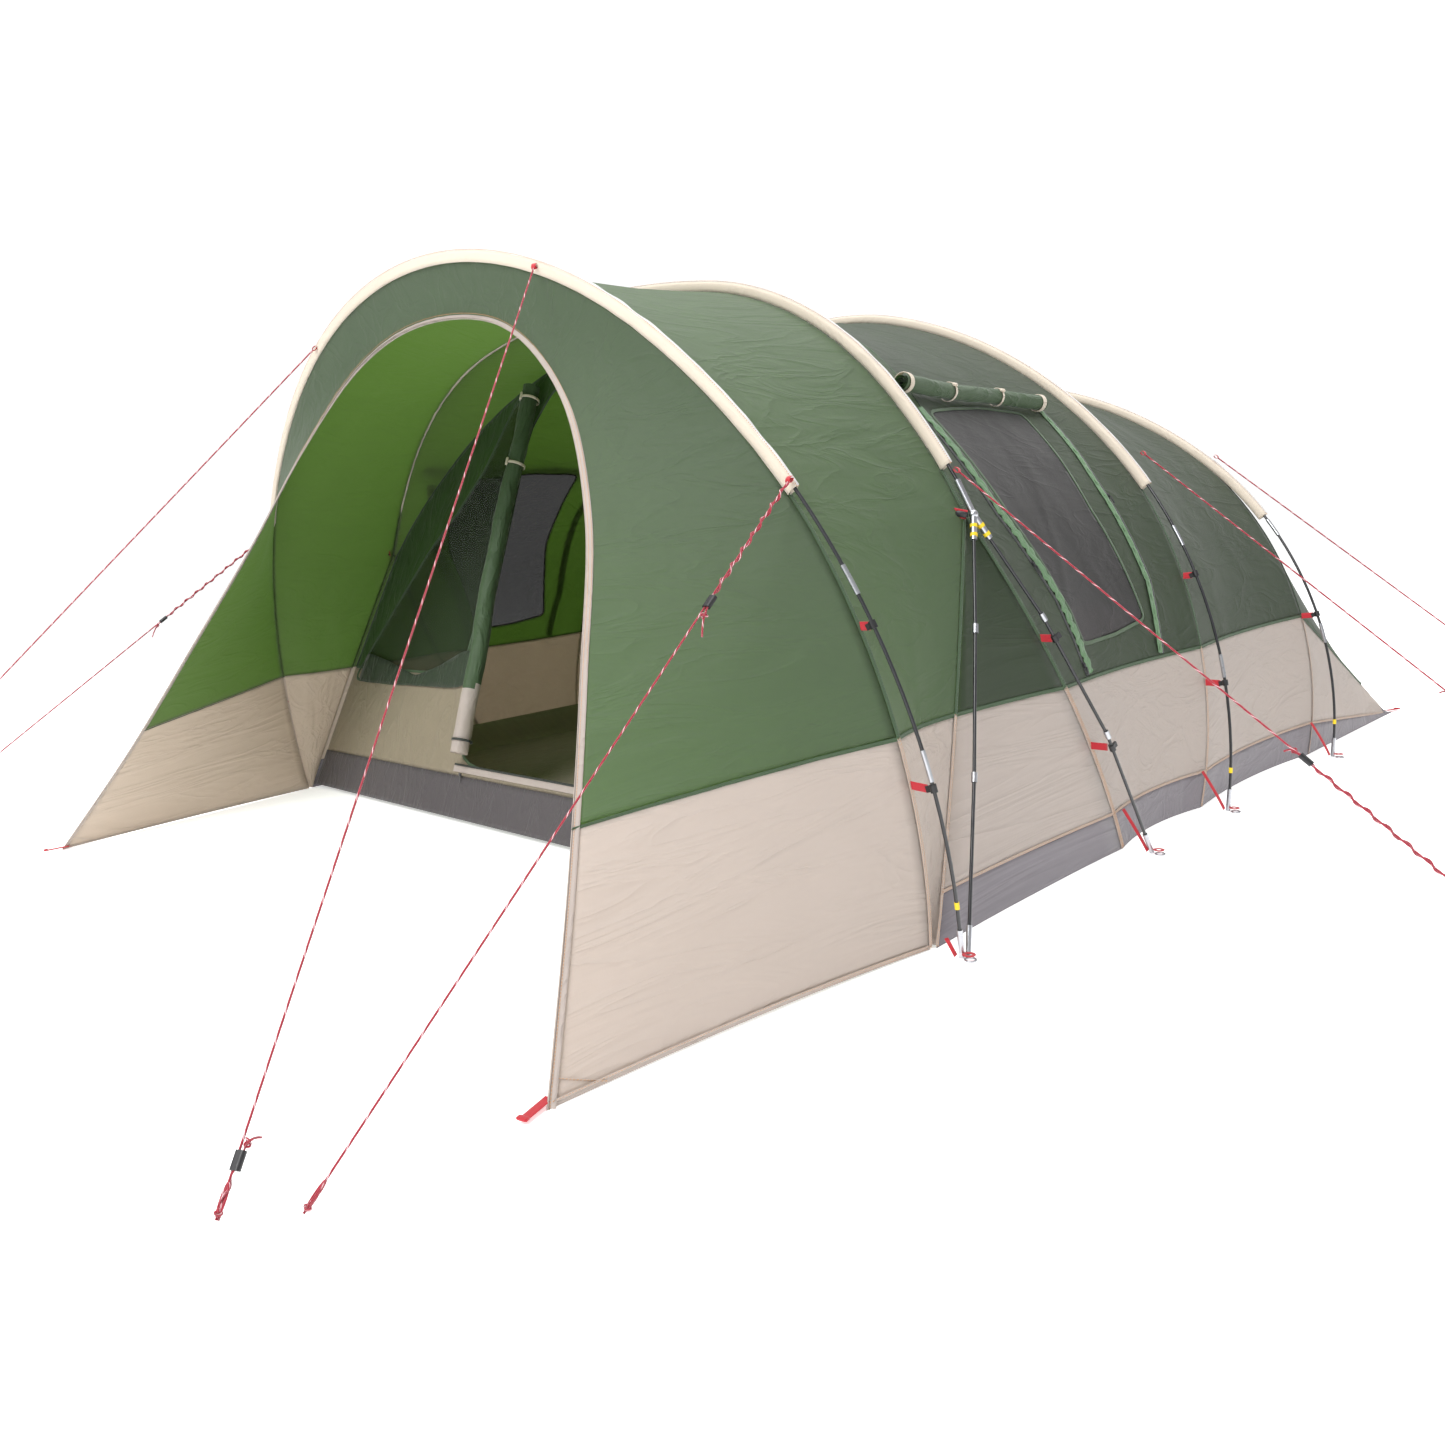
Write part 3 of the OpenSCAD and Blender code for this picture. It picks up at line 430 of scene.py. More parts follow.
def hem_rib(u):
    scale = hoop_rib(REAR, 2)[0]
    if u <= 2:
        share = 1 - HEM_STEP * u
    else:
        share = (1 - 2 * HEM_STEP) * hoop_rib(REAR, u)[0] / scale
    return vec(HEM_HALF_W * share, HEM_Y, 0.002)


RIB_STEPS = 1400
PLACES = np.linspace(0, 2 * LAST, RIB_STEPS + 1)


def table_of(rib):
    """A rib's points at closely spaced places, over both sides of the tent."""
    one = [rib(u) for u in PLACES[:RIB_STEPS // 2 + 1]]
    one[-1][0] = 0
    return np.array(one + [p * vec(-1, 1, 1) for p in one[-2::-1]])


MOUTH_RIB = table_of(mouth_rib)
FRONT_RIB = table_of(lambda u: hoop_rib(FRONT, u))
FORK_FRONT_RIB = table_of(lambda u: fork_rib(False, u))
FORK_REAR_RIB = table_of(lambda u: fork_rib(True, u))
THIRD_RIB = table_of(lambda u: hoop_rib(THIRD, u))
REAR_RIB = table_of(lambda u: hoop_rib(REAR, u))
HEM_RIB = table_of(hem_rib)


def along_rib(rib, u):
    return np.stack([np.interp(u, PLACES, rib[:, k]) for k in range(3)], -1)


class Skin:
    """A stretched sheet between two ribs. u runs over the tent and v from the first rib to the second."""

    def __init__(self, first, second, sag, seed=1, folds=0.003, core=None):
        self.first, self.second, self.sag, self.core = first, second, sag, core
        middle = lerp(first, second, 0.5)
        steps = np.linalg.norm(np.diff(middle, axis=0), axis=1)
        self.run = np.concatenate([[0], np.cumsum(steps)])
        self.span = float(np.mean(np.linalg.norm(first - second, axis=1)))
        rng = np.random.default_rng(seed)
        count = int(4 + self.run[-1] * 5)
        self.folds = folds
        self.fold_rows = np.stack([
            rng.uniform(0, self.run[-1], count), rng.uniform(0.05, 0.95, count) * self.span,
            rng.normal(0, 0.55, count) + np.where(rng.random(count) < 0.5, 0.9, -0.9),
            rng.uniform(0.12, 0.42, count), rng.uniform(0.012, 0.04, count),
            rng.uniform(0.4, 1.0, count) * rng.choice([-1, 1], count)], -1)

    def metres(self, u, v):
        return np.interp(u, PLACES, self.run), v * self.span

    def inward(self, p):
        if self.core is None:
            d = np.stack([-p[..., 0], 0 * p[..., 0], np.minimum(0, 0.5 - p[..., 2])], -1)
        else:
            d = self.core - p
        return d / np.maximum(np.linalg.norm(d, axis=-1, keepdims=True), 1e-3)

    def ripple(self, u, v):
        """Soft folds, each a ridge with its own place, slant, length and width."""
        a, b = self.metres(u, v)
        total = np.zeros_like(a)
        for a0, b0, slant, long, wide, high in self.fold_rows:
            x, y = a - a0, b - b0
            on, off = x * math.cos(slant) + y * math.sin(slant), y * math.cos(slant) - x * math.sin(slant)
            off = off + 0.15 * on * on / long
            total += high * np.exp(-(on / long) ** 2 - (off / wide) ** 2)
        pull = np.sin(a * 71 + 3 * np.sin(a * 9)) * (np.exp(-b / 0.05) + np.exp(-(self.span - b) / 0.05))
        return self.folds * (total + 0.35 * pull) * np.minimum(1, 12 * v * (1 - v) + 0.1)

    def at(self, u, v, lift=0.0):
        u, v = np.broadcast_arrays(np.asarray(u, float), np.asarray(v, float))
        p = lerp(along_rib(self.first, u), along_rib(self.second, u), v[..., None])
        depth = self.sag * 4 * v * (1 - v) - self.ripple(u, v) - lift
        return p + self.inward(p) * depth[..., None]


# ---- Mesh builders ----


def piece(name, points, faces, materials, uv=None, face_material=None, smooth=True, body=TENT,
          slot=None, replaces=(), thick=0.0, inside=1):
    """A mesh object that rides on a body. thick gives a sheet its thickness, inwards."""
    mesh = bpy.data.meshes.new(name)
    mesh.from_pydata([tuple(map(float, p)) for p in points], [], [tuple(map(int, f)) for f in faces])
    for material in materials:
        mesh.materials.append(material)
    if face_material is not None:
        mesh.polygons.foreach_set("material_index", np.asarray(face_material, np.int32))
    if smooth:
        mesh.polygons.foreach_set("use_smooth", np.ones(len(mesh.polygons), bool))
    if uv is not None:
        layer = mesh.uv_layers.new(name="pattern")
        corner = np.zeros(len(mesh.loops), np.int32)
        mesh.loops.foreach_get("vertex_index", corner)
        layer.data.foreach_set("uv", np.asarray(uv, np.float32)[corner].ravel())
    mesh.validate()
    made = bpy.data.objects.new(name, mesh)
    bpy.context.scene.collection.objects.link(made)
    if thick:
        solid = made.modifiers.new("thickness", "SOLIDIFY")
        solid.thickness, solid.offset = thick, -1.0
        solid.material_offset = inside if len(materials) > 1 else 0
        solid.use_quality_normals = True
    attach(made, body)
    if replaces:
        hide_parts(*replaces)
    return made


def grid_faces(rows, columns, flip=False, keep=None, wrap=False):
    """Quads over a grid of points; keep is a mask of its cells, and wrap joins the last column to the first."""
    across = columns if wrap else columns - 1
    i, j = np.meshgrid(np.arange(rows - 1), np.arange(across), indexing="ij")
    a = i * columns + j
    b = i * columns + (j + 1) % columns
    quads = np.stack([a, b, b + columns, a + columns], -1)
    if keep is not None:
        quads = quads[keep]
    quads = quads.reshape(-1, 4)
    return quads[:, ::-1] if flip else quads


def faces_outwards(points, quads, core):
    p = np.asarray(points).reshape(-1, 3)
    a, b, d = p[quads[:, 0]], p[quads[:, 1]], p[quads[:, 3]]
    normal, middle = np.cross(b - a, d - a), p[quads].mean(1)
    away = middle - np.stack([0 * middle[:, 0], middle[:, 1] * 0.6, 0 * middle[:, 2] + 0.3], -1)
    if core is not None:
        away = middle - core
    return (normal * away).sum() > 0


def outline_mask(u, v, outline):
    """True where (u, v) is inside the closed outline."""
    inside = np.zeros(np.shape(u), bool)
    for (x0, y0), (x1, y1) in zip(outline, np.roll(outline, -1, axis=0)):
        if y0 == y1:
            continue
        crosses = (y0 > v) != (y1 > v)
        inside ^= crosses & (u < (x1 - x0) * (v - y0) / (y1 - y0) + x0)
    return inside


def snapped(u, v, outline, scale):
    """The nearest places on the outline."""
    q = np.stack([u, v], -1) * scale
    best, where = np.full(len(q), 1e9), q.copy()
    for a, b in zip(outline * scale, np.roll(outline, -1, axis=0) * scale):
        d = b - a
        t = np.clip(((q - a) @ d) / max(d @ d, 1e-12), 0, 1)
        p = a + t[:, None] * d
        far = np.linalg.norm(q - p, axis=1)
        closer = far < best
        best[closer], where[closer] = far[closer], p[closer]
    return where / scale


def panel(name, skin, u, v, materials, slot, step=0.018, thick=0.0012, holes=(), lift=0.0,
          held="stretched", flat=True, within=None, **rest):
    """A cloth panel cut from a skin, from place u[0] to u[1] and share v[0] to v[1].

    holes are outlines cut out of it, and within is an outline that it is cut down to."""
    long = abs(np.interp(u[1], PLACES, skin.run) - np.interp(u[0], PLACES, skin.run))
    columns = max(5, int(long / step) + 1)
    rows = max(4, int(skin.span * (v[1] - v[0]) / step) + 1)
    reach = np.interp(np.linspace(np.interp(u[0], PLACES, skin.run), np.interp(u[1], PLACES, skin.run), columns),
                      skin.run, PLACES)
    V, U = np.meshgrid(np.linspace(v[0], v[1], rows), reach, indexing="ij")
    keep = None
    cuts = [(hole, True) for hole in holes] + ([] if within is None else [(within, False)])
    if cuts:
        middle_u = (U[1:, 1:] + U[:-1, :-1]) / 2
        middle_v = (V[1:, 1:] + V[:-1, :-1]) / 2
        gone = np.zeros(middle_u.shape, bool)
        scale = vec(long / abs(u[1] - u[0]), skin.span)
        for hole, out_of_it in cuts:
            inside = outline_mask(middle_u, middle_v, hole)
            gone |= inside if out_of_it else ~inside
            touched = np.zeros(U.shape, bool)
            for di in (0, 1):
                for dj in (0, 1):
                    touched[di:di + rows - 1, dj:dj + columns - 1] |= inside
            rim = touched.copy()
            whole = np.ones(U.shape, bool)
            for di in (0, 1):
                for dj in (0, 1):
                    whole[di:di + rows - 1, dj:dj + columns - 1] &= inside
            rim &= ~whole
            where = snapped(U[rim], V[rim], hole, scale)
            U[rim], V[rim] = where[:, 0], where[:, 1]
        keep = ~gone
    points = skin.at(U, V, lift)
    a, b = skin.metres(U, V)
    uv = np.stack([a, b], -1).reshape(-1, 2)
    quads = grid_faces(rows, columns, keep=keep)
    if not faces_outwards(points, quads, skin.core):
        quads = quads[:, ::-1]
    made = piece(name, points.reshape(-1, 3), quads, materials, uv, thick=thick, slot=slot, **rest)
    return made


def frames_along(points, start=None):
    """Unit tangent and two cross directions at each point, turning as little as they can."""
    p = np.asarray(points, float)
    ahead = np.gradient(p, axis=0)
    ahead /= np.maximum(np.linalg.norm(ahead, axis=1, keepdims=True), 1e-12)
    first = start if start is not None else np.eye(3)[np.argmin(np.abs(ahead[0]))]
    sides = []
    for t in ahead:
        first = unit(first - t * (first @ t))
        sides.append(first)
    sides = np.array(sides)
    return ahead, sides, np.cross(ahead, sides)


def tube_mesh(points, radius, sides=10, start=None, around_twist=0.0):
    """Points, faces and UV of a closed round tube. radius is one number or one for each point."""
    p = np.asarray(points, float)
    _, a, b = frames_along(p, start)
    radii = np.broadcast_to(np.asarray(radius, float), (len(p),))
    turn = np.arange(sides) / sides * 2 * math.pi
    ring = (a[:, None] * np.cos(turn)[None, :, None] + b[:, None] * np.sin(turn)[None, :, None])
    rings = p[:, None] + ring * radii[:, None, None]
    run = np.concatenate([[0], np.cumsum(np.linalg.norm(np.diff(p, axis=0), axis=1))])
    seam = np.concatenate([rings, rings[:, :1]], 1)
    uv = np.stack(np.broadcast_arrays(np.linspace(0, 1, sides + 1)[None] + around_twist * run[:, None],
                                      run[:, None]), -1)
    quads = grid_faces(len(p), sides, flip=True, wrap=True)
    caps = [tuple(range(sides - 1, -1, -1)), tuple((len(p) - 1) * sides + k for k in range(sides))]
    return rings.reshape(-1, 3), [tuple(q) for q in quads] + caps, uv[:, :sides].reshape(-1, 2)


def joined(parts):
    """One list of points, faces and UVs from several."""
    points, faces, uv, count = [], [], [], 0
    for p, f, m in parts:
        points.append(np.asarray(p))
        faces += [tuple(k + count for k in face) for face in f]
        uv.append(np.asarray(m))
        count += len(p)
    return np.concatenate(points), faces, np.concatenate(uv)


def ribbon_mesh(points, out, width, thick):
    """A flat band along points, square to the out directions, with a rounded edge."""
    p = np.asarray(points, float)
    ahead = np.gradient(p, axis=0)
    ahead /= np.maximum(np.linalg.norm(ahead, axis=1, keepdims=True), 1e-12)
    o = np.broadcast_to(np.asarray(out, float), p.shape)
    o = o - ahead * (o * ahead).sum(1, keepdims=True)
    o = o / np.maximum(np.linalg.norm(o, axis=1, keepdims=True), 1e-9)
    side = np.cross(ahead, o)
    half = np.broadcast_to(np.asarray(width, float), (len(p),)) / 2
    profile = [(-1, 0.25), (-0.94, 1), (-0.35, 1.0), (0.35, 1.0), (0.94, 1), (1, 0.25),
               (0.94, 0), (0.35, 0.0), (-0.35, 0.0), (-0.94, 0)]
    rings = np.stack([p + side * (half * a)[:, None] + o * thick * b for a, b in profile], 1)
    run = np.concatenate([[0], np.cumsum(np.linalg.norm(np.diff(p, axis=0), axis=1))])
    n = len(profile)
    uv = np.stack([np.stack([half * a, run], -1) for a, _ in profile], 1)
    quads = grid_faces(len(p), n, wrap=True)
    ring = rings.reshape(-1, 3)
    caps = [tuple(range(n)), tuple((len(p) - 1) * n + k for k in range(n - 1, -1, -1))]
    faces = [tuple(q) for q in quads]
    c = rings.mean(1)
    test = np.array(faces[0])
    normal = np.cross(ring[test[1]] - ring[test[0]], ring[test[3]] - ring[test[0]])
    if normal @ (ring[test].mean(0) - c[0]) < 0:
        faces = [f[::-1] for f in faces]
        caps = [f[::-1] for f in caps]
    return ring, faces + caps, uv.reshape(-1, 2)


# ---- Guy lines ----

ROPE_R = 0.0025
GUY_ROUTE = [
    ((0.690, -1.535, 1.850), (1.500, -3.010, 0.005)),
    ((1.520, -1.460, 1.190), (1.600, -2.900, 0.005)),
    ((-0.690, -1.535, 1.850), (-1.910, -3.260, 0.005)),
    ((-1.520, -1.460, 1.190), (-1.830, -3.160, 0.005)),
    ((1.565, -0.790, 1.195), (2.900, -0.590, 0.005)),
    ((1.460, 0.590, 1.235), (2.900, 0.560, 0.005)),
    ((1.350, 1.520, 1.220), (2.750, 1.660, 0.005)),
    ((-1.565, -0.790, 1.195), (-2.700, -0.590, 0.005)),
    ((-1.460, 0.590, 1.235), (-2.700, 0.560, 0.005)),
    ((-1.350, 1.520, 1.220), (-2.700, 1.660, 0.005)),
]
RUNNER_PLACE = [2.400, 0.410, 2.100, 0.545, 1.150, 1.300, 1.300, 1.150, 1.300, 1.300]
STRAND_GAP = 0.009
DOUBLED_ABOVE = (1, 3)


def knot_mesh(at, axis, size):
    """An overhand knot: a rope's thickness wound in a short trefoil about the line's axis."""
    t = np.linspace(0, 2 * math.pi, 49)[:-1]
    a, b = frames_along([at, at + axis * 0.01])[1][0], frames_along([at, at + axis * 0.01])[2][0]
    x, y, z = np.sin(t) + 2 * np.sin(2 * t), np.cos(t) - 2 * np.cos(2 * t), -np.sin(3 * t)
    p = at + size * (np.outer(x, a) * 0.33 + np.outer(z, b) * 0.5 + np.outer(y, axis) * 0.33)
    p = np.concatenate([p, p[:1]])
    return tube_mesh(p, ROPE_R * 0.95, 8)


def loop_mesh(at, axis, across, long, wide):
    """A closed loop of rope that starts at a point and reaches out along axis."""
    t = np.linspace(0, 2 * math.pi, 33)
    p = at + np.outer((1 - np.cos(t)) * long / 2, axis) + np.outer(np.sin(t) * wide / 2, across)
    return tube_mesh(p, ROPE_R, 8)


for k, (top, low) in enumerate(GUY_ROUTE):
    top, low = vec(*top), vec(*low)
    down = unit(low - top)
    length = float(np.linalg.norm(low - top))
    phi = math.atan2(down[1], down[0])
    beside = vec(-math.sin(phi), math.cos(phi), 0)
    number = k + 1
    path = [top + down * s for s in np.linspace(0, length, 60)]
    points, faces, uv = tube_mesh(path, ROPE_R, 10)
    line = piece(f"guy_rope_{number}", points, faces, [ROPE], uv, slot="guy_rope",
                 replaces=[f"guy_line_{number}"])
    end_knot = knot_mesh(low - down * 0.012, down, 0.007)
    points, faces, uv = joined([end_knot, loop_mesh(low - down * 0.06, down, beside, 0.055, 0.010)])
    points[:, 2] = np.maximum(points[:, 2], 0.001)
    tie = piece(f"guy_end_{number}", points, faces, [ROPE], uv, slot="guy_rope")
    place = RUNNER_PLACE[k]
    runner_at = top + down * place
    above = k in DOUBLED_ABOVE
    # The doubled strand runs from the runner's second hole to the loop at one end of the rope.
    far = top + beside * 0.004 if above else low + beside * 0.004
    near = runner_at + beside * STRAND_GAP
    strand_length = float(np.linalg.norm(far - near))
    turns = max(2, int(strand_length / 0.05))
    t = np.linspace(0, 1, turns * 10 + 1)
    straight = lerp(near, far, t[:, None])
    wind = 2 * math.pi * turns * t
    hug = np.minimum(1, np.minimum(t, 1 - t) * strand_length / 0.04)[:, None]
    centre = runner_at + np.outer((straight - runner_at) @ down, down)
    spare = unit(np.cross(down, beside))
    coil = centre + (ROPE_R * 2.0) * (np.outer(np.cos(wind), beside) + np.outer(np.sin(wind), spare))
    twisted = lerp(straight, coil, hug)
    twisted[:, 2] = np.maximum(twisted[:, 2], 0.004)
    points, faces, uv = tube_mesh(twisted, ROPE_R * 0.95, 8)
    strand = piece(f"guy_strand_{number}", points, faces, [ROPE], uv, slot="guy_rope")
    away = -down if not above else down
    tail = [near + away * (0.017 + s) + beside * 0.25 * s * s / 0.05 + vec(0, 0, -0.6 * s * s / 0.05)
            for s in np.linspace(-0.02, 0.05, 12)]
    points, faces, uv = joined([tube_mesh(tail, ROPE_R * 0.95, 8), knot_mesh(tail[6], away, 0.008)])
    piece(f"guy_tail_{number}", points, faces, [ROPE], uv, slot="guy_rope", body=f"runner_{number}")
    strand.parent = None
    strand.matrix_world = Matrix.Identity(4)
    del strand["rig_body"]
    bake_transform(strand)

# ---- Cloth panels ----

wing = Skin(MOUTH_RIB, FRONT_RIB, 0.015, 11, 0.0025, vec(0, -0.6, 0.9))
porch = Skin(FRONT_RIB, FORK_FRONT_RIB, 0.020, 12)
gusset = Skin(FORK_FRONT_RIB, FORK_REAR_RIB, 0.010, 13, 0.002)
bay = Skin(FORK_REAR_RIB, THIRD_RIB, 0.035, 14)
rear = Skin(THIRD_RIB, REAR_RIB, 0.035, 15)
tail_end = Skin(REAR_RIB, HEM_RIB, 0.0, 16, 0.003, vec(0, 0.6, 0.3))


def other_side(places):
    """The same places on the tent's other side."""
    return np.array([(2 * LAST - u, v) for u, v in places])


def rounded(corners, size=0.12, steps=6):
    """A closed outline with its corners rounded, in (u, v)."""
    c = np.asarray(corners, float)
    out = []
    for k in range(len(c)):
        before, here, after = c[k - 1], c[k], c[(k + 1) % len(c)]
        a, b = lerp(here, before, size), lerp(here, after, size)
        for t in np.linspace(0, 1, steps):
            out.append(lerp(lerp(a, here, t), lerp(here, b, t), t))
    return np.array(out)


def refined(outline, count=200):
    """The outline again, at evenly spaced points."""
    closed = np.concatenate([outline, outline[:1]])
    run = np.concatenate([[0], np.cumsum(np.linalg.norm(np.diff(closed, axis=0), axis=1))])
    t = np.linspace(0, run[-1], count + 1)[:-1]
    return np.stack([np.interp(t, run, closed[:, k]) for k in range(2)], -1)


WINDOW = refined(rounded([(2.58, 0.26), (2.61, 0.48), (2.76, 0.70), (3.94, 0.69), (5.13, 0.675), (7.05, 0.69),
                          (7.05, 0.48), (6.6, 0.14), (5.21, 0.22), (4.17, 0.25), (3.19, 0.265)]))
GREENS = [GREEN_OUT, GREEN_IN_PAINTED_LIGHT]
# The first finish here is the green cloth with painted shade.
SHADED_GREENS = [GREEN_SHADED, GREEN_IN_PAINTED_LIGHT]
PALES = [PALE_OUT, PALE_IN_PAINTED_LIGHT]

panel("wing_cloth", wing, (2, 26), (0, 1), GREENS, "green_cloth", replaces=["wing_canopy"])
panel("wing_skirt_right", wing, (0, 2), (0, 1), PALES, "pale_cloth", replaces=["wing_skirts"])
panel("wing_skirt_left", wing, (26, 28), (0, 1), PALES, "pale_cloth", replaces=["wing_skirts"])
panel("porch_cloth", porch, (2, 26), (0, 1), GREENS, "green_cloth", replaces=["porch_canopy"])
panel("bay_cloth", bay, (2, 26), (0, 1), SHADED_GREENS, "green_cloth", step=0.014,
      holes=[WINDOW, other_side(WINDOW)], replaces=["window_canopy"])
panel("rear_cloth", rear, (2, 26), (0, 1), SHADED_GREENS, "green_cloth", replaces=["rear_canopy"])
panel("end_cloth", tail_end, (2, 26), (0, 0.68), SHADED_GREENS, "green_cloth", replaces=["end_canopy"])
panel("end_skirt_cloth", tail_end, (2, 26), (0.68, 0.92), PALES, "pale_cloth", replaces=["end_skirt"])
panel("end_mud_flap", tail_end, (0, 28), (0.92, 1), [GREY], "grey_cloth", replaces=["mud_flaps"])
for side, (a, b) in (("right", (0, 1)), ("left", (28, -1))):
    def run(lo, hi):
        return tuple(sorted((a + b * lo, a + b * hi)))
    panel(f"gusset_{side}", gusset, run(2, 4.96), (0, 1), SHADED_GREENS, "green_cloth", replaces=["side_gussets"])
    panel(f"porch_skirt_{side}", porch, run(0.05, 2), (0.02, 0.98), PALES, "pale_cloth",
          replaces=["lower_skirts"])
    for word, skin in (("gusset", gusset), ("bay", bay), ("rear", rear)):
        panel(f"{word}_skirt_{side}", skin, run(1, 2), (0, 1), PALES, "pale_cloth", replaces=["lower_skirts"])
        panel(f"{word}_mud_flap_{side}", skin, run(0, 1), (0, 1), [GREY], "grey_cloth", replaces=["mud_flaps"])
    panel(f"end_skirt_{side}", tail_end, run(1, 2), (0, 0.92), PALES, "pale_cloth",
          replaces=["lower_skirts"])
    panel(f"end_mud_{side}", tail_end, run(0, 1), (0, 0.92), [GREY], "grey_cloth", replaces=["mud_flaps"])

# ---- Pole sleeves: a cloth tunnel sewn to the canopy, with a flange along its outer edge ----

SLEEVE_PROFILE = [(-0.007, -0.024), (-0.0095, -0.012), (-0.0098, 0.0), (-0.007, 0.0065), (-0.0022, 0.0095),
                  (-0.0016, 0.0155), (0.0016, 0.0155), (0.0022, 0.0095), (0.007, 0.0065), (0.0098, 0.0),
                  (0.0095, -0.012), (0.007, -0.024)]


def sleeve(name, hoop, half, seed, replaces):
    steps = int(2 * half / 0.012)
    places = np.linspace(-half, half, steps + 1)
    rng = np.random.default_rng(seed)
    rings, uv = [], []
    waves = [(rng.uniform(20, 60), rng.uniform(0, 6.28), rng.uniform(0.3, 1)) for _ in range(7)]
    side = hoop.side()
    for s in places:
        h = hoop.heading(s)
        middle, out = hoop.point(h), hoop.out(h)
        wave = sum(w * math.sin(f * s + q) for f, q, w in waves) / 3
        ring = []
        for n, (across, high) in enumerate(SLEEVE_PROFILE):
            top = max(0.0, high / 0.0155)
            ring.append(middle + side * (across * (1 + 0.12 * wave) + 0.0012 * wave * top)
                        + out * (high + 0.0008 * wave * (high > 0)))
        rings.append(ring)
        uv.append([(n * 0.008, s) for n in range(len(SLEEVE_PROFILE))])
    n = len(SLEEVE_PROFILE)
    rings = np.array(rings)
    quads = grid_faces(len(places), n, wrap=True)
    mark = np.tile([1 if k in (4, 5, 6) else 0 for k in range(n)], len(places) - 1)
    flat = rings.reshape(-1, 3)
    centre = rings.mean(1)
    q = quads[0]
    if np.cross(flat[q[1]] - flat[q[0]], flat[q[3]] - flat[q[0]]) @ (flat[q].mean(0) - centre[0]) < 0:
        quads = quads[:, ::-1]
    # The tunnel's ends stay open, so that the pole comes out of it.
    piece(name, flat, quads, [SLEEVE, SLEEVE_EDGE], np.array(uv).reshape(-1, 2), mark, slot="sleeve_cloth",
          replaces=replaces, thick=0.0008, inside=0)


sleeve("front_sleeve_cloth", FRONT, 1.80, 21, ["front_sleeve"])
sleeve("second_sleeve_cloth", SECOND, 1.79, 22, ["second_sleeve"])
sleeve("third_sleeve_cloth", THIRD, 1.79, 23, ["third_sleeve"])
sleeve("rear_sleeve_cloth", REAR, 1.77, 24, ["rear_sleeve"])

# ---- Tape round the porch mouth ----

tape_places = np.linspace(0, 2 * LAST, 420)
tape_line = along_rib(MOUTH_RIB, tape_places)
tape_out = -wing.inward(tape_line)
tape_in = wing.at(tape_places, 0.03) - tape_line
tape_in /= np.linalg.norm(tape_in, axis=1, keepdims=True)
TAPE_W = 0.018
outer = ribbon_mesh(tape_line + tape_in * (TAPE_W / 2 - 0.001) + tape_out * 0.0006, tape_out, TAPE_W, 0.0016)
inner = ribbon_mesh(tape_line + tape_in * (TAPE_W / 2 - 0.001) - tape_out * 0.0018, -tape_out, TAPE_W, 0.0016)
edge = ribbon_mesh(tape_line - tape_in * 0.001, -tape_in, 0.0052, 0.0016)
points, faces, uv = joined([outer, inner, edge])
piece("mouth_tape", points, faces, [PALE_OUT], uv, slot="pale_cloth", replaces=["opening_tape"])

# ---- Strips, seams and stitches ----


def strip(points, out, width, thick=0.0012, ends=False):
    """A flat strip that lies on a surface along points."""
    return ribbon_mesh(np.asarray(points), out, width, thick)


def on_skin(skin, places, lift=0.0, steps=60):
    """Points on a skin along a line of (u, v) places, with the outward direction at each."""
    c = np.asarray(places, float)
    run = np.concatenate([[0], np.cumsum(np.linalg.norm(np.diff(c * (0.35, 1.0), axis=0), axis=1))])
    t = np.linspace(0, run[-1], steps)
    u, v = np.interp(t, run, c[:, 0]), np.interp(t, run, c[:, 1])
    p = skin.at(u, v, lift)
    return p, -skin.inward(p)


def mirrored(places):
    return [(2 * LAST - u, v) for u, v in places]


def stitch_tree():
    """Geometry nodes that set one short thread after another along a line."""
    tree = bpy.data.node_groups.new("stitch_row", "GeometryNodeTree")
    sockets = {}
    for name, kind in (("Line", "Geometry"), ("Pitch", "Float"), ("Size", "Vector"), ("Thread", "Material")):
        sockets[name] = tree.interface.new_socket(name, in_out="INPUT", socket_type="NodeSocket" + kind).identifier
    tree.interface.new_socket("Stitches", in_out="OUTPUT", socket_type="NodeSocketGeometry")
    made = {key: tree.nodes.new(kind) for key, kind in (
        ("in", "NodeGroupInput"), ("curve", "GeometryNodeMeshToCurve"), ("points", "GeometryNodeCurveToPoints"),
        ("cube", "GeometryNodeMeshCube"), ("place", "GeometryNodeInstanceOnPoints"),
        ("real", "GeometryNodeRealizeInstances"), ("paint", "GeometryNodeSetMaterial"), ("out", "NodeGroupOutput"))}
    made["points"].mode = "LENGTH"
    link = tree.links.new
    link(made["in"].outputs["Line"], made["curve"].inputs["Mesh"])
    link(made["curve"].outputs["Curve"], made["points"].inputs["Curve"])
    link(made["in"].outputs["Pitch"], made["points"].inputs["Length"])
    link(made["in"].outputs["Size"], made["cube"].inputs["Size"])
    link(made["points"].outputs["Points"], made["place"].inputs["Points"])
    link(made["points"].outputs["Rotation"], made["place"].inputs["Rotation"])
    link(made["cube"].outputs["Mesh"], made["place"].inputs["Instance"])
    link(made["place"].outputs["Instances"], made["real"].inputs["Geometry"])
    link(made["real"].outputs["Geometry"], made["paint"].inputs["Geometry"])
    link(made["in"].outputs["Thread"], made["paint"].inputs["Material"])
    link(made["paint"].outputs["Geometry"], made["out"].inputs[0])
    return tree, sockets


STITCH_TREE, STITCH_INPUTS = stitch_tree()


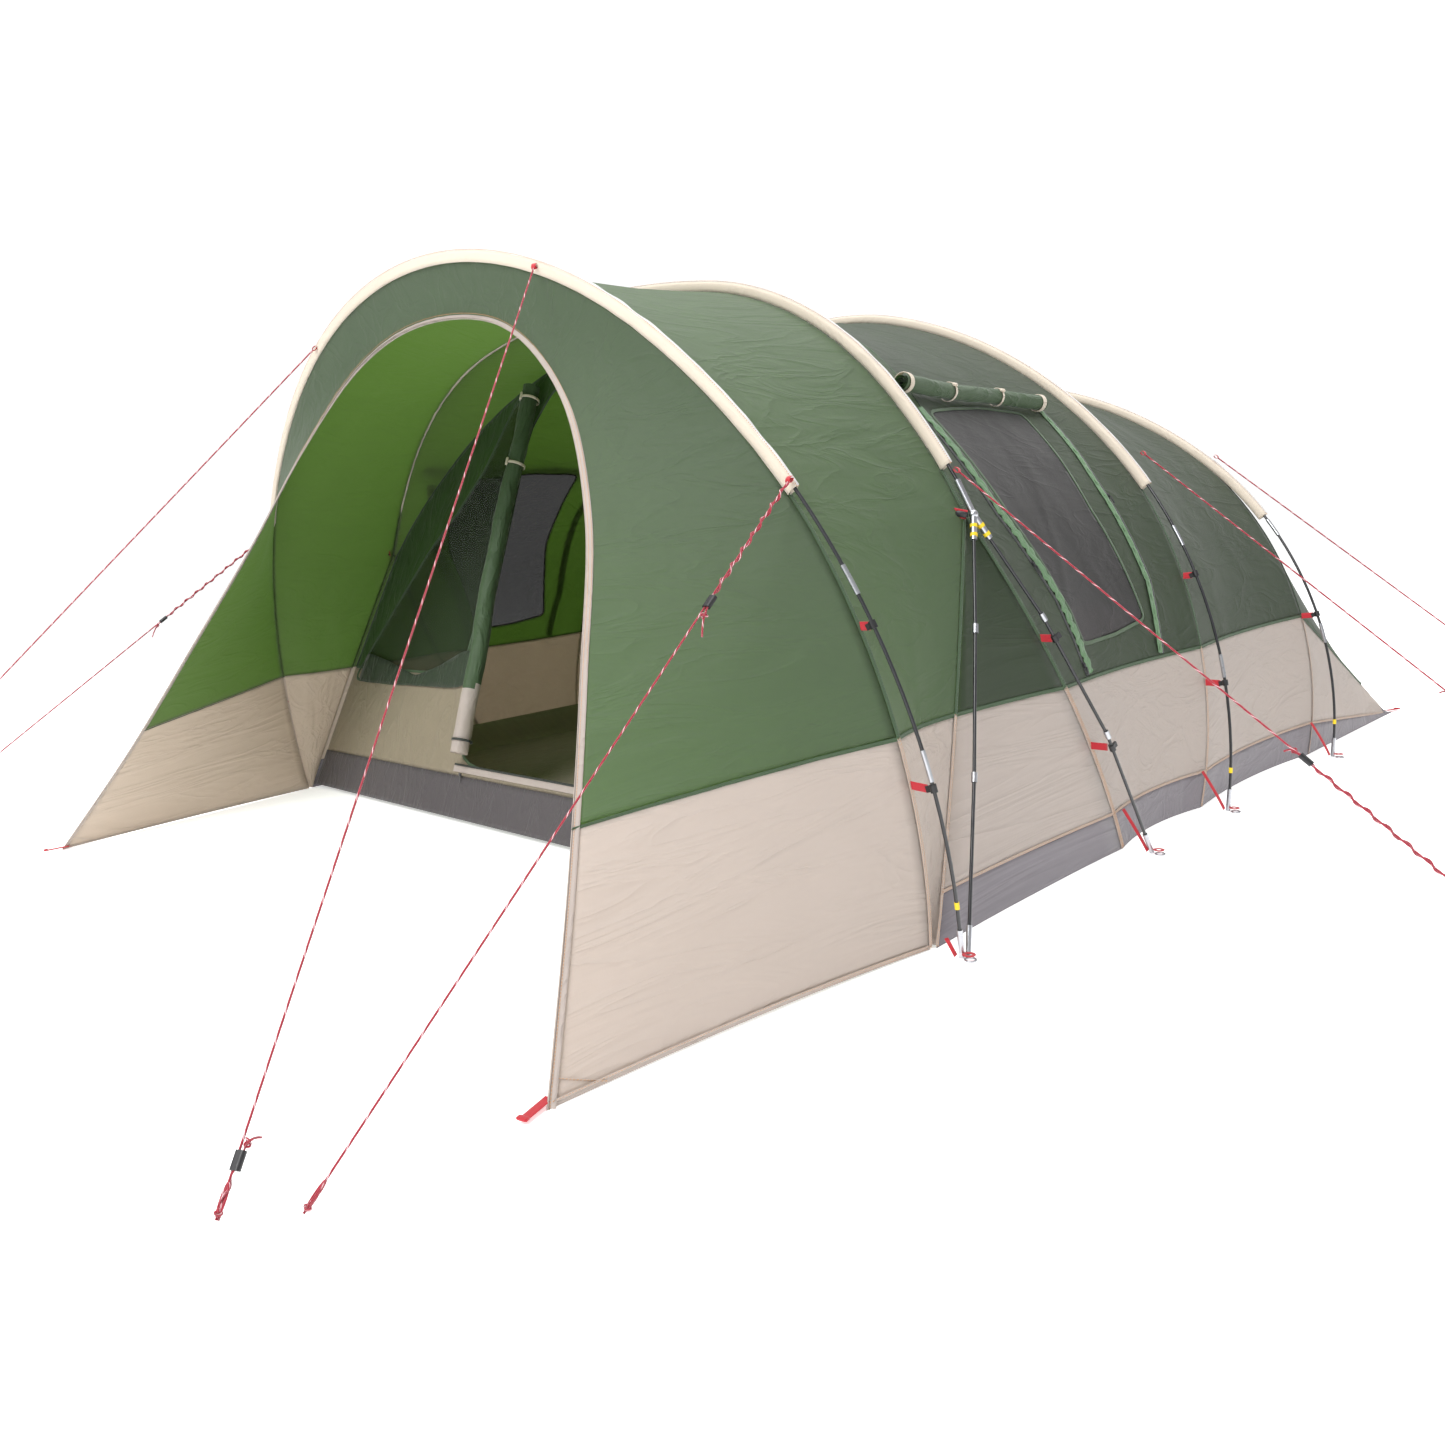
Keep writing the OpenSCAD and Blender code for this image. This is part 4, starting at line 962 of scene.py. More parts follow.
def baked(name, lines, tree, values, body=TENT):
    """Runs a geometry node tree over lines of points and keeps its result as a plain mesh."""
    points, edges = [], []
    for line in lines:
        first = len(points)
        points += [tuple(map(float, p)) for p in line]
        edges += [(first + k, first + k + 1) for k in range(len(line) - 1)]
    mesh = bpy.data.meshes.new(name + "_line")
    mesh.from_pydata(points, edges, [])
    source = bpy.data.objects.new(name + "_line", mesh)
    bpy.context.scene.collection.objects.link(source)
    modifier = source.modifiers.new("rule", "NODES")
    modifier.node_group = tree
    for key, value in values.items():
        modifier[key] = value
    bpy.context.view_layer.update()
    ready = source.evaluated_get(bpy.context.evaluated_depsgraph_get())
    result = bpy.data.meshes.new_from_object(ready)
    bpy.data.objects.remove(source)
    bpy.data.meshes.remove(mesh)
    result.name = name
    made = bpy.data.objects.new(name, result)
    bpy.context.scene.collection.objects.link(made)
    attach(made, body)
    return made


STITCH_SIZE = (0.0011, 0.0011, 0.0045)


def stitches(name, lines, thread, pitch=0.0075):
    return baked(name, lines, STITCH_TREE, {
        STITCH_INPUTS["Pitch"]: pitch, STITCH_INPUTS["Size"]: STITCH_SIZE, STITCH_INPUTS["Thread"]: thread})


green_strips, pale_strips, green_rows, tan_rows = [], [], [], []


def seam_line(skin, places, width, strips, rows, lift=0.0006, steps=80):
    """A sewn seam: a flat strip with a row of stitches on each side of its middle."""
    p, out = on_skin(skin, places, lift, steps)
    strips.append(strip(p, out, width))
    ahead = np.gradient(p, axis=0)
    side = np.cross(ahead, out)
    side /= np.maximum(np.linalg.norm(side, axis=1, keepdims=True), 1e-9)
    for share in (-0.28, 0.28):
        rows.append(p + side * width * share + out * 0.0014)


for skin in (porch, gusset, bay, rear, tail_end):
    edges = [0.004, 0.996] if skin is porch else [0.996] if skin is gusset else [0.004]
    for v in edges:
        for path in ([(2, v), (5.9, v)],):
            if skin is gusset:
                path = [(2, v), (4.96, v)]
            for line in (path, mirrored(path)):
                seam_line(skin, line, 0.013, green_strips, green_rows)
        for line in ([(0.05, v), (2, v)], mirrored([(0.05, v), (2, v)])):
            seam_line(skin, line, 0.013, pale_strips, tan_rows, steps=24)
for skin, v1 in ((wing, 1), (porch, 1), (gusset, 1), (bay, 1), (rear, 1), (tail_end, 0.68)):
    for line in ([(2, 0), (2, v1)], mirrored([(2, 0), (2, v1)])):
        seam_line(skin, line, 0.011, green_strips, green_rows)
for skin in (gusset, bay, rear, tail_end):
    for line in ([(1, 0), (1, 0.92 if skin is tail_end else 1)],):
        for both in (line, mirrored(line)):
            seam_line(skin, both, 0.009, pale_strips, tan_rows)
seam_line(tail_end, [(2, 0.68), (26, 0.68)], 0.012, green_strips, green_rows, steps=160)
for line in ([(0.07, 0.01), (0.07, 0.99)], [(0.34, 0.01), (0.04, 0.12)]):
    for both in (line, mirrored(line)):
        seam_line(wing, both, 0.014 if line[0][0] < 0.1 else 0.006, pale_strips, tan_rows)
points, faces, uv = joined(green_strips)
piece("green_seams", points, faces, [BINDING], uv, slot="green_cloth")
points, faces, uv = joined(pale_strips)
piece("pale_seams", points, faces, [PALE_OUT], uv, slot="pale_cloth")
stitches("green_stitches", green_rows, GREEN_THREAD)
for share in (0.25, 0.75):
    tan_rows.append(tape_line + tape_in * TAPE_W * share + tape_out * 0.0028)
for hoop, half in ((FRONT, 1.80), (SECOND, 1.79), (THIRD, 1.79), (REAR, 1.77)):
    for way in (-1, 1):
        row = []
        for s in np.linspace(-half, half, 300):
            h = hoop.heading(s)
            row.append(hoop.point(h) + hoop.out(h) * 0.0118 + hoop.side() * 0.0029 * way)
        tan_rows.append(row)
stitches("pale_stitches", tan_rows, STITCHES)

# ---- Side windows ----

FLAP = cloth("gathered_flap", colour(112, 146, 108), colour(96, 130, 94), colour(112, 168, 62), 0.2, 0.006)
ZIP_TAPE = cloth("zip_tape", colour(50, 54, 50), colour(38, 42, 38), colour(40, 50, 40), 0.02, 0.001, 0.6)


def spiral_tree():
    """Geometry nodes that sweep a flat spiral along a line: a rolled sheet."""
    tree = bpy.data.node_groups.new("rolled_sheet", "GeometryNodeTree")
    sockets = {}
    for name, kind in (("Line", "Geometry"), ("Inner", "Float"), ("Outer", "Float"), ("Turns", "Float"),
                       ("Wrinkle", "Float"), ("Cloth", "Material")):
        sockets[name] = tree.interface.new_socket(name, in_out="INPUT", socket_type="NodeSocket" + kind).identifier
    tree.interface.new_socket("Roll", in_out="OUTPUT", socket_type="NodeSocketGeometry")
    made = {key: tree.nodes.new(kind) for key, kind in (
        ("in", "NodeGroupInput"), ("curve", "GeometryNodeMeshToCurve"), ("spiral", "GeometryNodeCurveSpiral"),
        ("sweep", "GeometryNodeCurveToMesh"), ("noise", "ShaderNodeTexNoise"), ("less", "ShaderNodeMath"),
        ("size", "ShaderNodeMath"), ("normal", "GeometryNodeInputNormal"), ("scale", "ShaderNodeVectorMath"),
        ("move", "GeometryNodeSetPosition"), ("real", "GeometryNodeRealizeInstances"),
        ("paint", "GeometryNodeSetMaterial"), ("out", "NodeGroupOutput"))}
    made["spiral"].inputs["Resolution"].default_value = 26
    made["spiral"].inputs["Height"].default_value = 0.0
    made["noise"].inputs["Scale"].default_value = 14.0
    made["noise"].inputs["Detail"].default_value = 3.0
    made["less"].operation, made["size"].operation, made["scale"].operation = "SUBTRACT", "MULTIPLY", "SCALE"
    made["less"].inputs[1].default_value = 0.5
    link = tree.links.new
    link(made["in"].outputs["Line"], made["curve"].inputs["Mesh"])
    link(made["in"].outputs["Turns"], made["spiral"].inputs["Rotations"])
    link(made["in"].outputs["Inner"], made["spiral"].inputs["Start Radius"])
    link(made["in"].outputs["Outer"], made["spiral"].inputs["End Radius"])
    link(made["curve"].outputs["Curve"], made["sweep"].inputs["Curve"])
    link(made["spiral"].outputs["Curve"], made["sweep"].inputs["Profile Curve"])
    link(made["noise"].outputs["Fac"], made["less"].inputs[0])
    link(made["less"].outputs[0], made["size"].inputs[0])
    link(made["in"].outputs["Wrinkle"], made["size"].inputs[1])
    link(made["normal"].outputs["Normal"], made["scale"].inputs[0])
    link(made["size"].outputs[0], made["scale"].inputs["Scale"])
    link(made["sweep"].outputs["Mesh"], made["move"].inputs["Geometry"])
    link(made["scale"].outputs["Vector"], made["move"].inputs["Offset"])
    link(made["move"].outputs["Geometry"], made["real"].inputs["Geometry"])
    link(made["real"].outputs["Geometry"], made["paint"].inputs["Geometry"])
    link(made["in"].outputs["Cloth"], made["paint"].inputs["Material"])
    link(made["paint"].outputs["Geometry"], made["out"].inputs[0])
    return tree, sockets


SPIRAL_TREE, SPIRAL_INPUTS = spiral_tree()


def rolled(name, line, outer, turns, wrinkle, material, second=None, second_below=0.0, replaces=()):
    """A rolled flap along a line. second is the material of its part below a height."""
    made = baked(name, [line], SPIRAL_TREE, {
        SPIRAL_INPUTS["Inner"]: outer * 0.2, SPIRAL_INPUTS["Outer"]: outer, SPIRAL_INPUTS["Turns"]: turns,
        SPIRAL_INPUTS["Wrinkle"]: wrinkle, SPIRAL_INPUTS["Cloth"]: material})
    mesh = made.data
    count = len(mesh.vertices) // len(line)
    place = np.zeros(len(mesh.vertices) * 3)
    mesh.vertices.foreach_get("co", place)
    place = place.reshape(-1, 3)
    axis = np.asarray(line, float)
    run = np.concatenate([[0], np.cumsum(np.linalg.norm(np.diff(axis, axis=0), axis=1))])
    order = np.arange(len(place))
    uv = np.stack([(order % count) * 0.008, run[np.minimum(order // count, len(run) - 1)]], -1)
    layer = mesh.uv_layers.new(name="pattern")
    corner = np.zeros(len(mesh.loops), np.int32)
    mesh.loops.foreach_get("vertex_index", corner)
    layer.data.foreach_set("uv", uv[corner].astype(np.float32).ravel())
    mesh.polygons.foreach_set("use_smooth", np.ones(len(mesh.polygons), bool))
    outward = inward = 0.0
    for face in mesh.polygons:
        ring = face.vertices[0] // count
        if face.vertices[0] % count > count - 20:
            side = np.array(face.center) - axis[min(ring, len(axis) - 1)]
            outward += float(np.dot(side, face.normal))
    if outward < 0:
        mesh.flip_normals()
    if second is not None:
        mesh.materials.append(second)
        for face in mesh.polygons:
            if face.center[2] < second_below:
                face.material_index = 1
    if replaces:
        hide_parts(*replaces)
    return made


def band_round(centre, axis, radius, width, thick=0.002):
    """A tape tied round a roll."""
    _, a, b = frames_along([centre, centre + axis * 0.01])
    t = np.linspace(0, 2 * math.pi, 33)
    around = np.outer(np.cos(t), a[0]) + np.outer(np.sin(t), b[0])
    return ribbon_mesh(centre + around * radius, around, width, thick)


def box_mesh(centre, ahead, out, size):
    """A small block with bevelled edges; size is along ahead, across and out."""
    ahead, out = unit(ahead), unit(out)
    across = np.cross(out, ahead)
    points, faces = [], []
    for share, shrink in ((-1, 0.7), (-0.75, 1), (0.75, 1), (1, 0.7)):
        for a, b in ((-1, -0.7), (-0.7, -1), (0.7, -1), (1, -0.7), (1, 0.7), (0.7, 1), (-0.7, 1), (-1, 0.7)):
            points.append(centre + ahead * size[0] / 2 * share + across * size[1] / 2 * a * shrink
                          + out * size[2] / 2 * b * shrink)
    for r in range(3):
        for k in range(8):
            n = (k + 1) % 8
            faces.append((r * 8 + k, r * 8 + n, r * 8 + 8 + n, r * 8 + 8 + k))
    faces += [tuple(range(7, -1, -1)), tuple(range(24, 32))]
    normal = np.cross(np.array(points[1]) - points[0], np.array(points[8]) - points[0])
    if normal @ (np.array(points[0]) - centre) < 0:
        faces = [f[::-1] for f in faces]
    return np.array(points), faces, np.array([(p @ across, p @ ahead) for p in points])


LEFT_ZIP = [(6.56, 0.075), (4.91, 0.168), (3.45, 0.213), (2.05, 0.19)]
RIGHT_ZIP = [(7.4, 0.833), (5.74, 0.80), (3.46, 0.81), (2.05, 0.753)]
ROLL_LINE = [(6.95, 0.05), (7.1, 0.3), (7.25, 0.55), (7.2, 0.80)]
for word, turn in (("right", lambda places: list(places)), ("left", mirrored)):
    outline = np.array(turn([tuple(p) for p in WINDOW]))
    lo, hi = outline.min(0), outline.max(0)
    panel(f"window_pane_{word}", bay, (lo[0] - 0.1, hi[0] + 0.1), (lo[1] - 0.01, hi[1] + 0.01), [PANE],
          "window_pane", step=0.014, thick=0.0006, lift=-0.0015, within=outline, replaces=["window_panels"])
    closed = np.concatenate([outline, outline[:1]])
    p, out = on_skin(bay, closed, 0.0006, 260)
    edging = [strip(p, out, 0.012)]
    points, faces, uv = joined(edging)
    piece(f"window_edging_{word}", points, faces, [BINDING], uv, slot="green_cloth")
    zips, flaps, pulls = [], [], []
    for number, path in enumerate((LEFT_ZIP, RIGHT_ZIP)):
        p, out = on_skin(bay, turn(path), 0.0008, 160)
        zips.append(strip(p, out, 0.011, 0.0016))
        ahead = np.gradient(p, axis=0)
        side = np.cross(ahead, out)
        side /= np.linalg.norm(side, axis=1, keepdims=True)
        toward = unit(bay.at(*turn([(4.5, 0.45)])[0]) - p[80])
        if side[80] @ toward < 0:
            side = -side
        k = np.arange(len(p))
        for reach, high, beat in ((0.017, 0.003, 0.9), (0.030, 0.0015, 0.63)):
            wave = np.sin(k * beat) + 0.6 * np.sin(k * beat * 1.7 + 1)
            flaps.append(strip(p + side * reach + out * (0.0015 + high * (1 + wave / 1.6))[:, None] * 0.6
                               + side * 0.0018 * wave[:, None], out, 0.017, 0.0012))
        for share in ((0.55, 0.96) if number == 0 else (0.42,)):
            at = int(share * (len(p) - 1))
            pulls.append(box_mesh(p[at] + out[at] * 0.005, ahead[at], out[at], (0.016, 0.009, 0.006)))
            pulls.append(box_mesh(p[at] + out[at] * 0.008 + unit(ahead[at]) * 0.02, ahead[at] - out[at] * 0.0005,
                                  out[at], (0.028, 0.006, 0.003)))
    points, faces, uv = joined(zips)
    piece(f"window_zips_{word}", points, faces, [ZIP_TAPE], uv, slot="green_cloth")
    points, faces, uv = joined(flaps)
    piece(f"window_flaps_{word}", points, faces, [FLAP], uv, slot="green_cloth")
    points, faces, uv = joined(pulls)
    piece(f"window_pulls_{word}", points, faces, [PLASTIC], uv, slot="black_plastic")
    p, out = on_skin(bay, turn(ROLL_LINE), 0.030, 40)
    rolled(f"window_roll_{word}", p, 0.027, 3.2, 0.006, ROLLED, replaces=["window_flap_rolls"])
    ahead = np.gradient(p, axis=0)
    ends = []
    for at, wide in ((1, 0.022), (38, 0.022)):
        ends.append(band_round(p[at], unit(ahead[at]), 0.028, wide))
    for at in (13, 27):
        ends.append(band_round(p[at], unit(ahead[at]), 0.0285, 0.010))
        ends.append(box_mesh(p[at] + out[at] * 0.032, ahead[at], out[at], (0.028, 0.010, 0.008)))
    points, faces, uv = joined(ends)
    piece(f"window_roll_ties_{word}", points, faces, [SLEEVE], uv, slot="sleeve_cloth", replaces=["roll_ties"])

# ---- Door wall: a flat cloth under the second hoop that leans back from the front legs' feet ----

WALL_FOOT_Y, WALL_SLOPE = -1.262, 0.4456
WALL_OUT = unit(vec(0, -1, WALL_SLOPE))


class Wall(Skin):
    """A flat skin. Its u from 0 to 28 is x from -2 to 2, and its v from 0 to 1 is z from 0 to 2."""

    def __init__(self, seed, folds):
        low = np.stack([PLACES / 7 - 2, 0 * PLACES + WALL_FOOT_Y, 0 * PLACES], -1)
        super().__init__(low, low + vec(0, 2 * WALL_SLOPE, 2), 0.0, seed, folds, vec(0, 1.0, 0.9))

    def inward(self, p):
        return np.broadcast_to(-WALL_OUT, np.shape(p))


wall = Wall(31, 0.004)
loose = Wall(32, 0.012)


def spots(places):
    """Places on the wall given as (x, z) in metres."""
    return [((x + 2) * 7, z / 2) for x, z in places]


WALL_EDGE = [(0.015, 1.745), (0.2, 1.727), (0.4, 1.697), (0.555, 1.671), (0.8, 1.626), (1.075, 1.57), (1.2, 1.50),
             (1.3, 1.43), (1.4, 1.342), (1.5, 1.24), (1.6, 1.11), (1.7, 0.944), (1.8, 0.703), (1.85, 0.497),
             (1.88, 0.282), (1.892, 0)]


def wall_outline(low, high):
    z = np.unique(np.concatenate([[low], [a for a, _ in WALL_EDGE if low < a < high], [high]]))
    x = np.interp(z, [a for a, _ in WALL_EDGE], [b for _, b in WALL_EDGE])
    return np.array(spots([(-b, a) for a, b in zip(z, x)] + [(b, a) for a, b in zip(z[::-1], x[::-1])]))


DOOR = refined(rounded(spots([(-0.60, 0.205), (-0.63, 0.7), (-0.67, 1.2), (-0.70, 1.55), (-0.60, 1.72), (-0.25, 1.77),
                              (0.30, 1.76), (0.60, 1.62), (0.68, 1.3), (0.66, 0.8), (0.65, 0.205)]), 0.2), 300)
MESH_WINDOW = refined(rounded(spots([(-0.853, 1.728), (-0.92, 1.56), (-0.98, 1.42), (-1.10, 1.26), (-1.27, 1.08),
                                     (-1.46, 0.80), (-1.655, 0.50), (-1.3, 0.495), (-0.74, 0.52), (-0.73, 0.9),
                                     (-0.765, 1.35), (-0.80, 1.6)]), 0.15), 260)
WALL_GREENS = [cloth("door_wall_cloth", colour(66, 96, 46), colour(52, 80, 36), colour(84, 130, 48), 0.3, 0.005),
               GREEN_IN_PAINTED_LIGHT]
panel("door_wall_green", wall, (0, 28), (0.2775, 0.947), WALL_GREENS, "green_cloth", within=wall_outline(0.555, 1.892),
      holes=[DOOR, MESH_WINDOW], replaces=["door_wall"])
# Painted shade: the pale cloth darkened for the door wall's base, which lies in the porch's shade.
WALL_PALE_SHADED = cloth("door_wall_pale_painted_shade", colour(158, 148, 128), colour(148, 137, 118), colour(220, 205, 180), 0.25, 0.007)
# Painted shade: a darker copy of the grey cloth for the sill, which lies in the porch's shade.
SILL_SHADED = cloth("sill_cloth_painted_shade", colour(88, 83, 85), colour(78, 73, 76), colour(120, 116, 120), 0.06, 0.006)
panel("door_wall_pale", wall, (0, 28), (0.086, 0.2775), [WALL_PALE_SHADED, PALE_IN_PAINTED_LIGHT], "pale_cloth", within=wall_outline(0.172, 0.555),
      holes=[DOOR], replaces=["door_wall_base"])
panel("door_sill", wall, (0, 28), (0.008, 0.086), [SILL_SHADED], "grey_cloth", within=wall_outline(0.016, 0.172), lift=0.004,
      replaces=["door_wall_base"])
panel("wall_window_mesh", wall, (2, 10), (0.23, 0.88), [MESH], "window_mesh", within=MESH_WINDOW, thick=0.0006,
      lift=-0.0015, replaces=["wall_window"])
STORM = refined(rounded(spots([(-1.60, 0.487), (-1.573, 0.621), (-1.366, 0.591), (-1.094, 0.536), (-0.924, 0.581),
                               (-0.773, 0.643), (-0.70, 0.656), (-0.69, 0.50)]), 0.15), 200)
STORM_CLOTH = cloth("storm_flap", colour(50, 62, 46), colour(40, 52, 38), colour(50, 70, 40), 0.05, 0.006)
panel("storm_flap", loose, (2, 10), (0.235, 0.34), [STORM_CLOTH], "green_cloth", within=STORM, lift=0.010)

trim, dark, rows = [], [], []
for outline, steps in ((DOOR, 300), (MESH_WINDOW, 260)):
    closed = np.concatenate([outline, outline[:1]])
    p, out = on_skin(wall, closed, 0.0008, steps)
    dark.append(strip(p, out, 0.014))
for line in (spots([(-1.66, 0.555), (-0.64, 0.555)]), spots([(0.66, 0.555), (1.66, 0.555)])):
    p, out = on_skin(wall, line, 0.0008)
    dark.append(strip(p, out, 0.012))
p, out = on_skin(wall, spots([(-0.61, 0.197), (0.655, 0.197)]), 0.0045)
trim.append(strip(p, out, 0.026, 0.002))
rows += [p + vec(0, 0, 0.006) + out * 0.0025, p - vec(0, 0, 0.006) + out * 0.0025]
zip_line, zip_out = on_skin(wall, spots([(-0.61, 0.213), (0.655, 0.213)]), 0.005)
zip_strip = strip(zip_line, zip_out, 0.008, 0.002)
for edge in (-1, 1):
    line = [(edge * (x - 0.006), z) for z, x in WALL_EDGE[3:]]
    p, out = on_skin(wall, spots(line), 0.0008, 120)
    dark.append(strip(p, out, 0.016))
points, faces, uv = joined(dark)
piece("wall_seams", points, faces, [BINDING], uv, slot="green_cloth")
points, faces, uv = joined(trim)
piece("sill_tape", points, faces, [PALE_OUT], uv, slot="pale_cloth")
points, faces, uv = zip_strip
piece("sill_zip", points, faces, [ZIP_TAPE], uv, slot="green_cloth")
p, out = on_skin(wall, spots([(-0.793, 1.335), (-0.748, 1.03), (-0.71, 0.741)]), 0.006)
points, faces, uv = strip(p, out, 0.010)
piece("window_tape", points, faces, [SLEEVE], uv, slot="sleeve_cloth")

roll_places = [(-0.53, 0.25), (-0.575, 0.60), (-0.63, 1.00), (-0.672, 1.40), (-0.69, 1.72)]
p, out = on_skin(wall, spots(roll_places), 0.052, 60)
sway = np.linspace(0, 1, 60)
p = p + np.outer(0.008 * np.sin(sway * 9) + 0.004 * np.sin(sway * 23 + 1), (1, 0, 0))
rolled("door_rolled_up", p, 0.040, 3.6, 0.014, ROLLED, PALE_OUT, 0.53, replaces=["door_roll"])
ahead = np.gradient(p, axis=0)
ties, dark_ties = [], []
for at in (47, 57):
    ties.append(band_round(p[at], unit(ahead[at]), 0.041, 0.012))
    ties.append(box_mesh(p[at] + out[at] * 0.046, ahead[at], out[at], (0.034, 0.012, 0.008)))
dark_ties.append(band_round(p[2], unit(ahead[2]), 0.041, 0.010))
points, faces, uv = joined(ties)
piece("door_roll_ties", points, faces, [SLEEVE], uv, slot="sleeve_cloth", replaces=["roll_ties"])
points, faces, uv = joined(dark_ties)
piece("door_roll_low_tie", points, faces, [ZIP_TAPE], uv, slot="sleeve_cloth")

# ---- Groundsheet: a tub with soft corners ----

TUB_HALF_W, TUB_FRONT, TUB_BACK, TUB_HIGH = 1.718, -1.176, 2.086, 0.148


def tub():
    def climb(s):
        """How far across and how high a place is, with the last twelfth of the way going up."""
        over = np.clip((np.abs(s) - 0.92) / 0.08, 0, 1)
        soft = np.sin(np.minimum(over * 3, 1) * math.pi / 2)
        return np.sign(s) * (np.minimum(np.abs(s) / 0.92, 1) * 0.985 + 0.015 * soft), np.maximum(over * 3 - 1, 0) / 2
    a, b = np.linspace(-1, 1, 161), np.linspace(0, 1, 131)
    x, rise_x = climb(a)
    y, rise_y = climb(b)
    rng = np.random.default_rng(41)
    X, Y = np.meshgrid(x, y)
    rise = np.maximum(*np.meshgrid(rise_x, rise_y))
    waves = sum(rng.uniform(0.3, 1) * np.sin(X * rng.uniform(-14, 14) + Y * rng.uniform(-18, 18) + k)
                for k in range(9)) / 9
    Z = 0.0035 + rise * TUB_HIGH + 0.0028 * (waves + 1) * (rise < 0.01) * (1 - Y ** 8)
    P = np.stack([X * TUB_HALF_W, TUB_FRONT + Y * (TUB_BACK - TUB_FRONT), Z], -1)
    uv = np.stack([X * TUB_HALF_W, Y * 3.3 + rise * TUB_HIGH], -1)
    piece("groundsheet_tub", P.reshape(-1, 3), grid_faces(131, 161), [FLOOR_CLOTH], uv.reshape(-1, 2),
          slot="groundsheet", replaces=["groundsheet"], thick=0.0012)


tub()

# ---- Red webbing, hooks and patches ----

red, hooks = [], []
for side in (-1, 1):
    turn = vec(side, 1, 1)
    feet = [hoop.space((hoop.point(hoop.bends[2])[0], 0)) for hoop in (FRONT, THIRD, REAR)] + [REAR_FOOT]
    for foot in feet:
        high = foot + (vec(-0.03, -0.02, 0.05) if foot is feet[0] else vec(-0.062, -0.060, 0.145))
        low = foot + vec(-0.006, -0.018, 0.010)
        t = np.linspace(0, 1, 10)[:, None]
        red.append(ribbon_mesh((lerp(high, low, t) + 0.006 * 4 * t * (1 - t) * vec(1, -1, 0)) * turn,
                               unit(vec(1, -0.6, 0.5)) * turn, 0.011, 0.0016))
        around = np.linspace(0, 2 * math.pi, 17)
        ring = foot + vec(0.011, -0.004, 0.014) + np.stack([0.012 * (1 - np.cos(around)), 0.012 * np.sin(around),
                                                           0 * around], -1)
        red.append(ribbon_mesh(ring * turn, vec(0, 0, 1), 0.010, 0.0016))
    for hoop, length in ((FRONT, 2.186), (FRONT, 2.607), (THIRD, 2.159), (THIRD, 2.552), (REAR, 2.235)):
        h = hoop.heading(length)
        middle = hoop.point(h)
        inner = hoop.point(h, gap(middle[2]) + 0.002)
        t = np.linspace(0, 1, 8)[:, None]
        red.append(ribbon_mesh((lerp(middle, inner, 0.25 + 0.75 * t) + hoop.side() * 0.0 + vec(0, 0, 0.012) * t) * turn,
                               hoop.side() * turn, 0.022, 0.0018))
    for t0 in (0.34, 0.66):
        middle = leg(True, t0)
        inner = middle - vec(gap(middle[2]), 0, 0)
        t = np.linspace(0, 1, 8)[:, None]
        red.append(ribbon_mesh(lerp(middle, inner, 0.25 + 0.75 * t) * turn, vec(0, 1, 0), 0.022, 0.0018))
    corner = vec(1.640, -2.413, 0.004)
    for start, end in ((corner + vec(-0.02, 0.02, 0.004), corner + vec(0.004, -0.062, 0.001)),
                       (vec(1.775, 2.385, 0.006), vec(1.800, 2.458, 0.003))):
        t = np.linspace(0, 1, 8)[:, None]
        red.append(ribbon_mesh((lerp(start, end, t) + vec(0, 0, 0.003)) * turn, vec(0, 0, 1), 0.022, 0.0018))
        red.append(box_mesh((end + vec(0, 0, 0.006)) * turn, (end - start) * turn, (0, 0, 1), (0.014, 0.026, 0.006)))
    # The webbing at the fork, from the cloth to a hook on the pole
    start, end = JUNCTION + vec(-0.045, -0.03, 0.01), JUNCTION + vec(-0.012, -0.014, 0.0)
    t = np.linspace(0, 1, 8)[:, None]
    red.append(ribbon_mesh(lerp(start, end, t) * turn, vec(0, -1, 0), 0.026, 0.002))
    hooks.append(box_mesh(lerp(start, end, 0.7) * turn + vec(0, -0.006, 0), (end - start) * turn, (0, -1, 0),
                          (0.03, 0.018, 0.012)))
for k, (top, low) in enumerate(GUY_ROUTE):
    top, low = vec(*top), vec(*low)
    down = unit(low - top)
    beside = unit(np.cross(down, (0, 0, 1)))
    t = np.linspace(0.12, 1.88, 20) * math.pi / 1
    loop = top - down * 0.008 - np.outer(np.cos(t - math.pi) * 0.009, -down) + np.outer(np.sin(t) * 0.005,
                                                                                     np.cross(beside, down))
    red.append(ribbon_mesh(loop, loop - (top - down * 0.008), 0.014, 0.0014))
points, faces, uv = joined(red)
piece("red_webbing_pieces", points, faces, [RED], uv, slot="red_webbing",
      replaces=["foot_straps", "clip_tabs", "corner_straps", "guy_loops"])
points, faces, uv = joined(hooks)
piece("corner_hooks", points, faces, [PLASTIC], uv, slot="black_plastic")

# ---- Carried-over solids ----

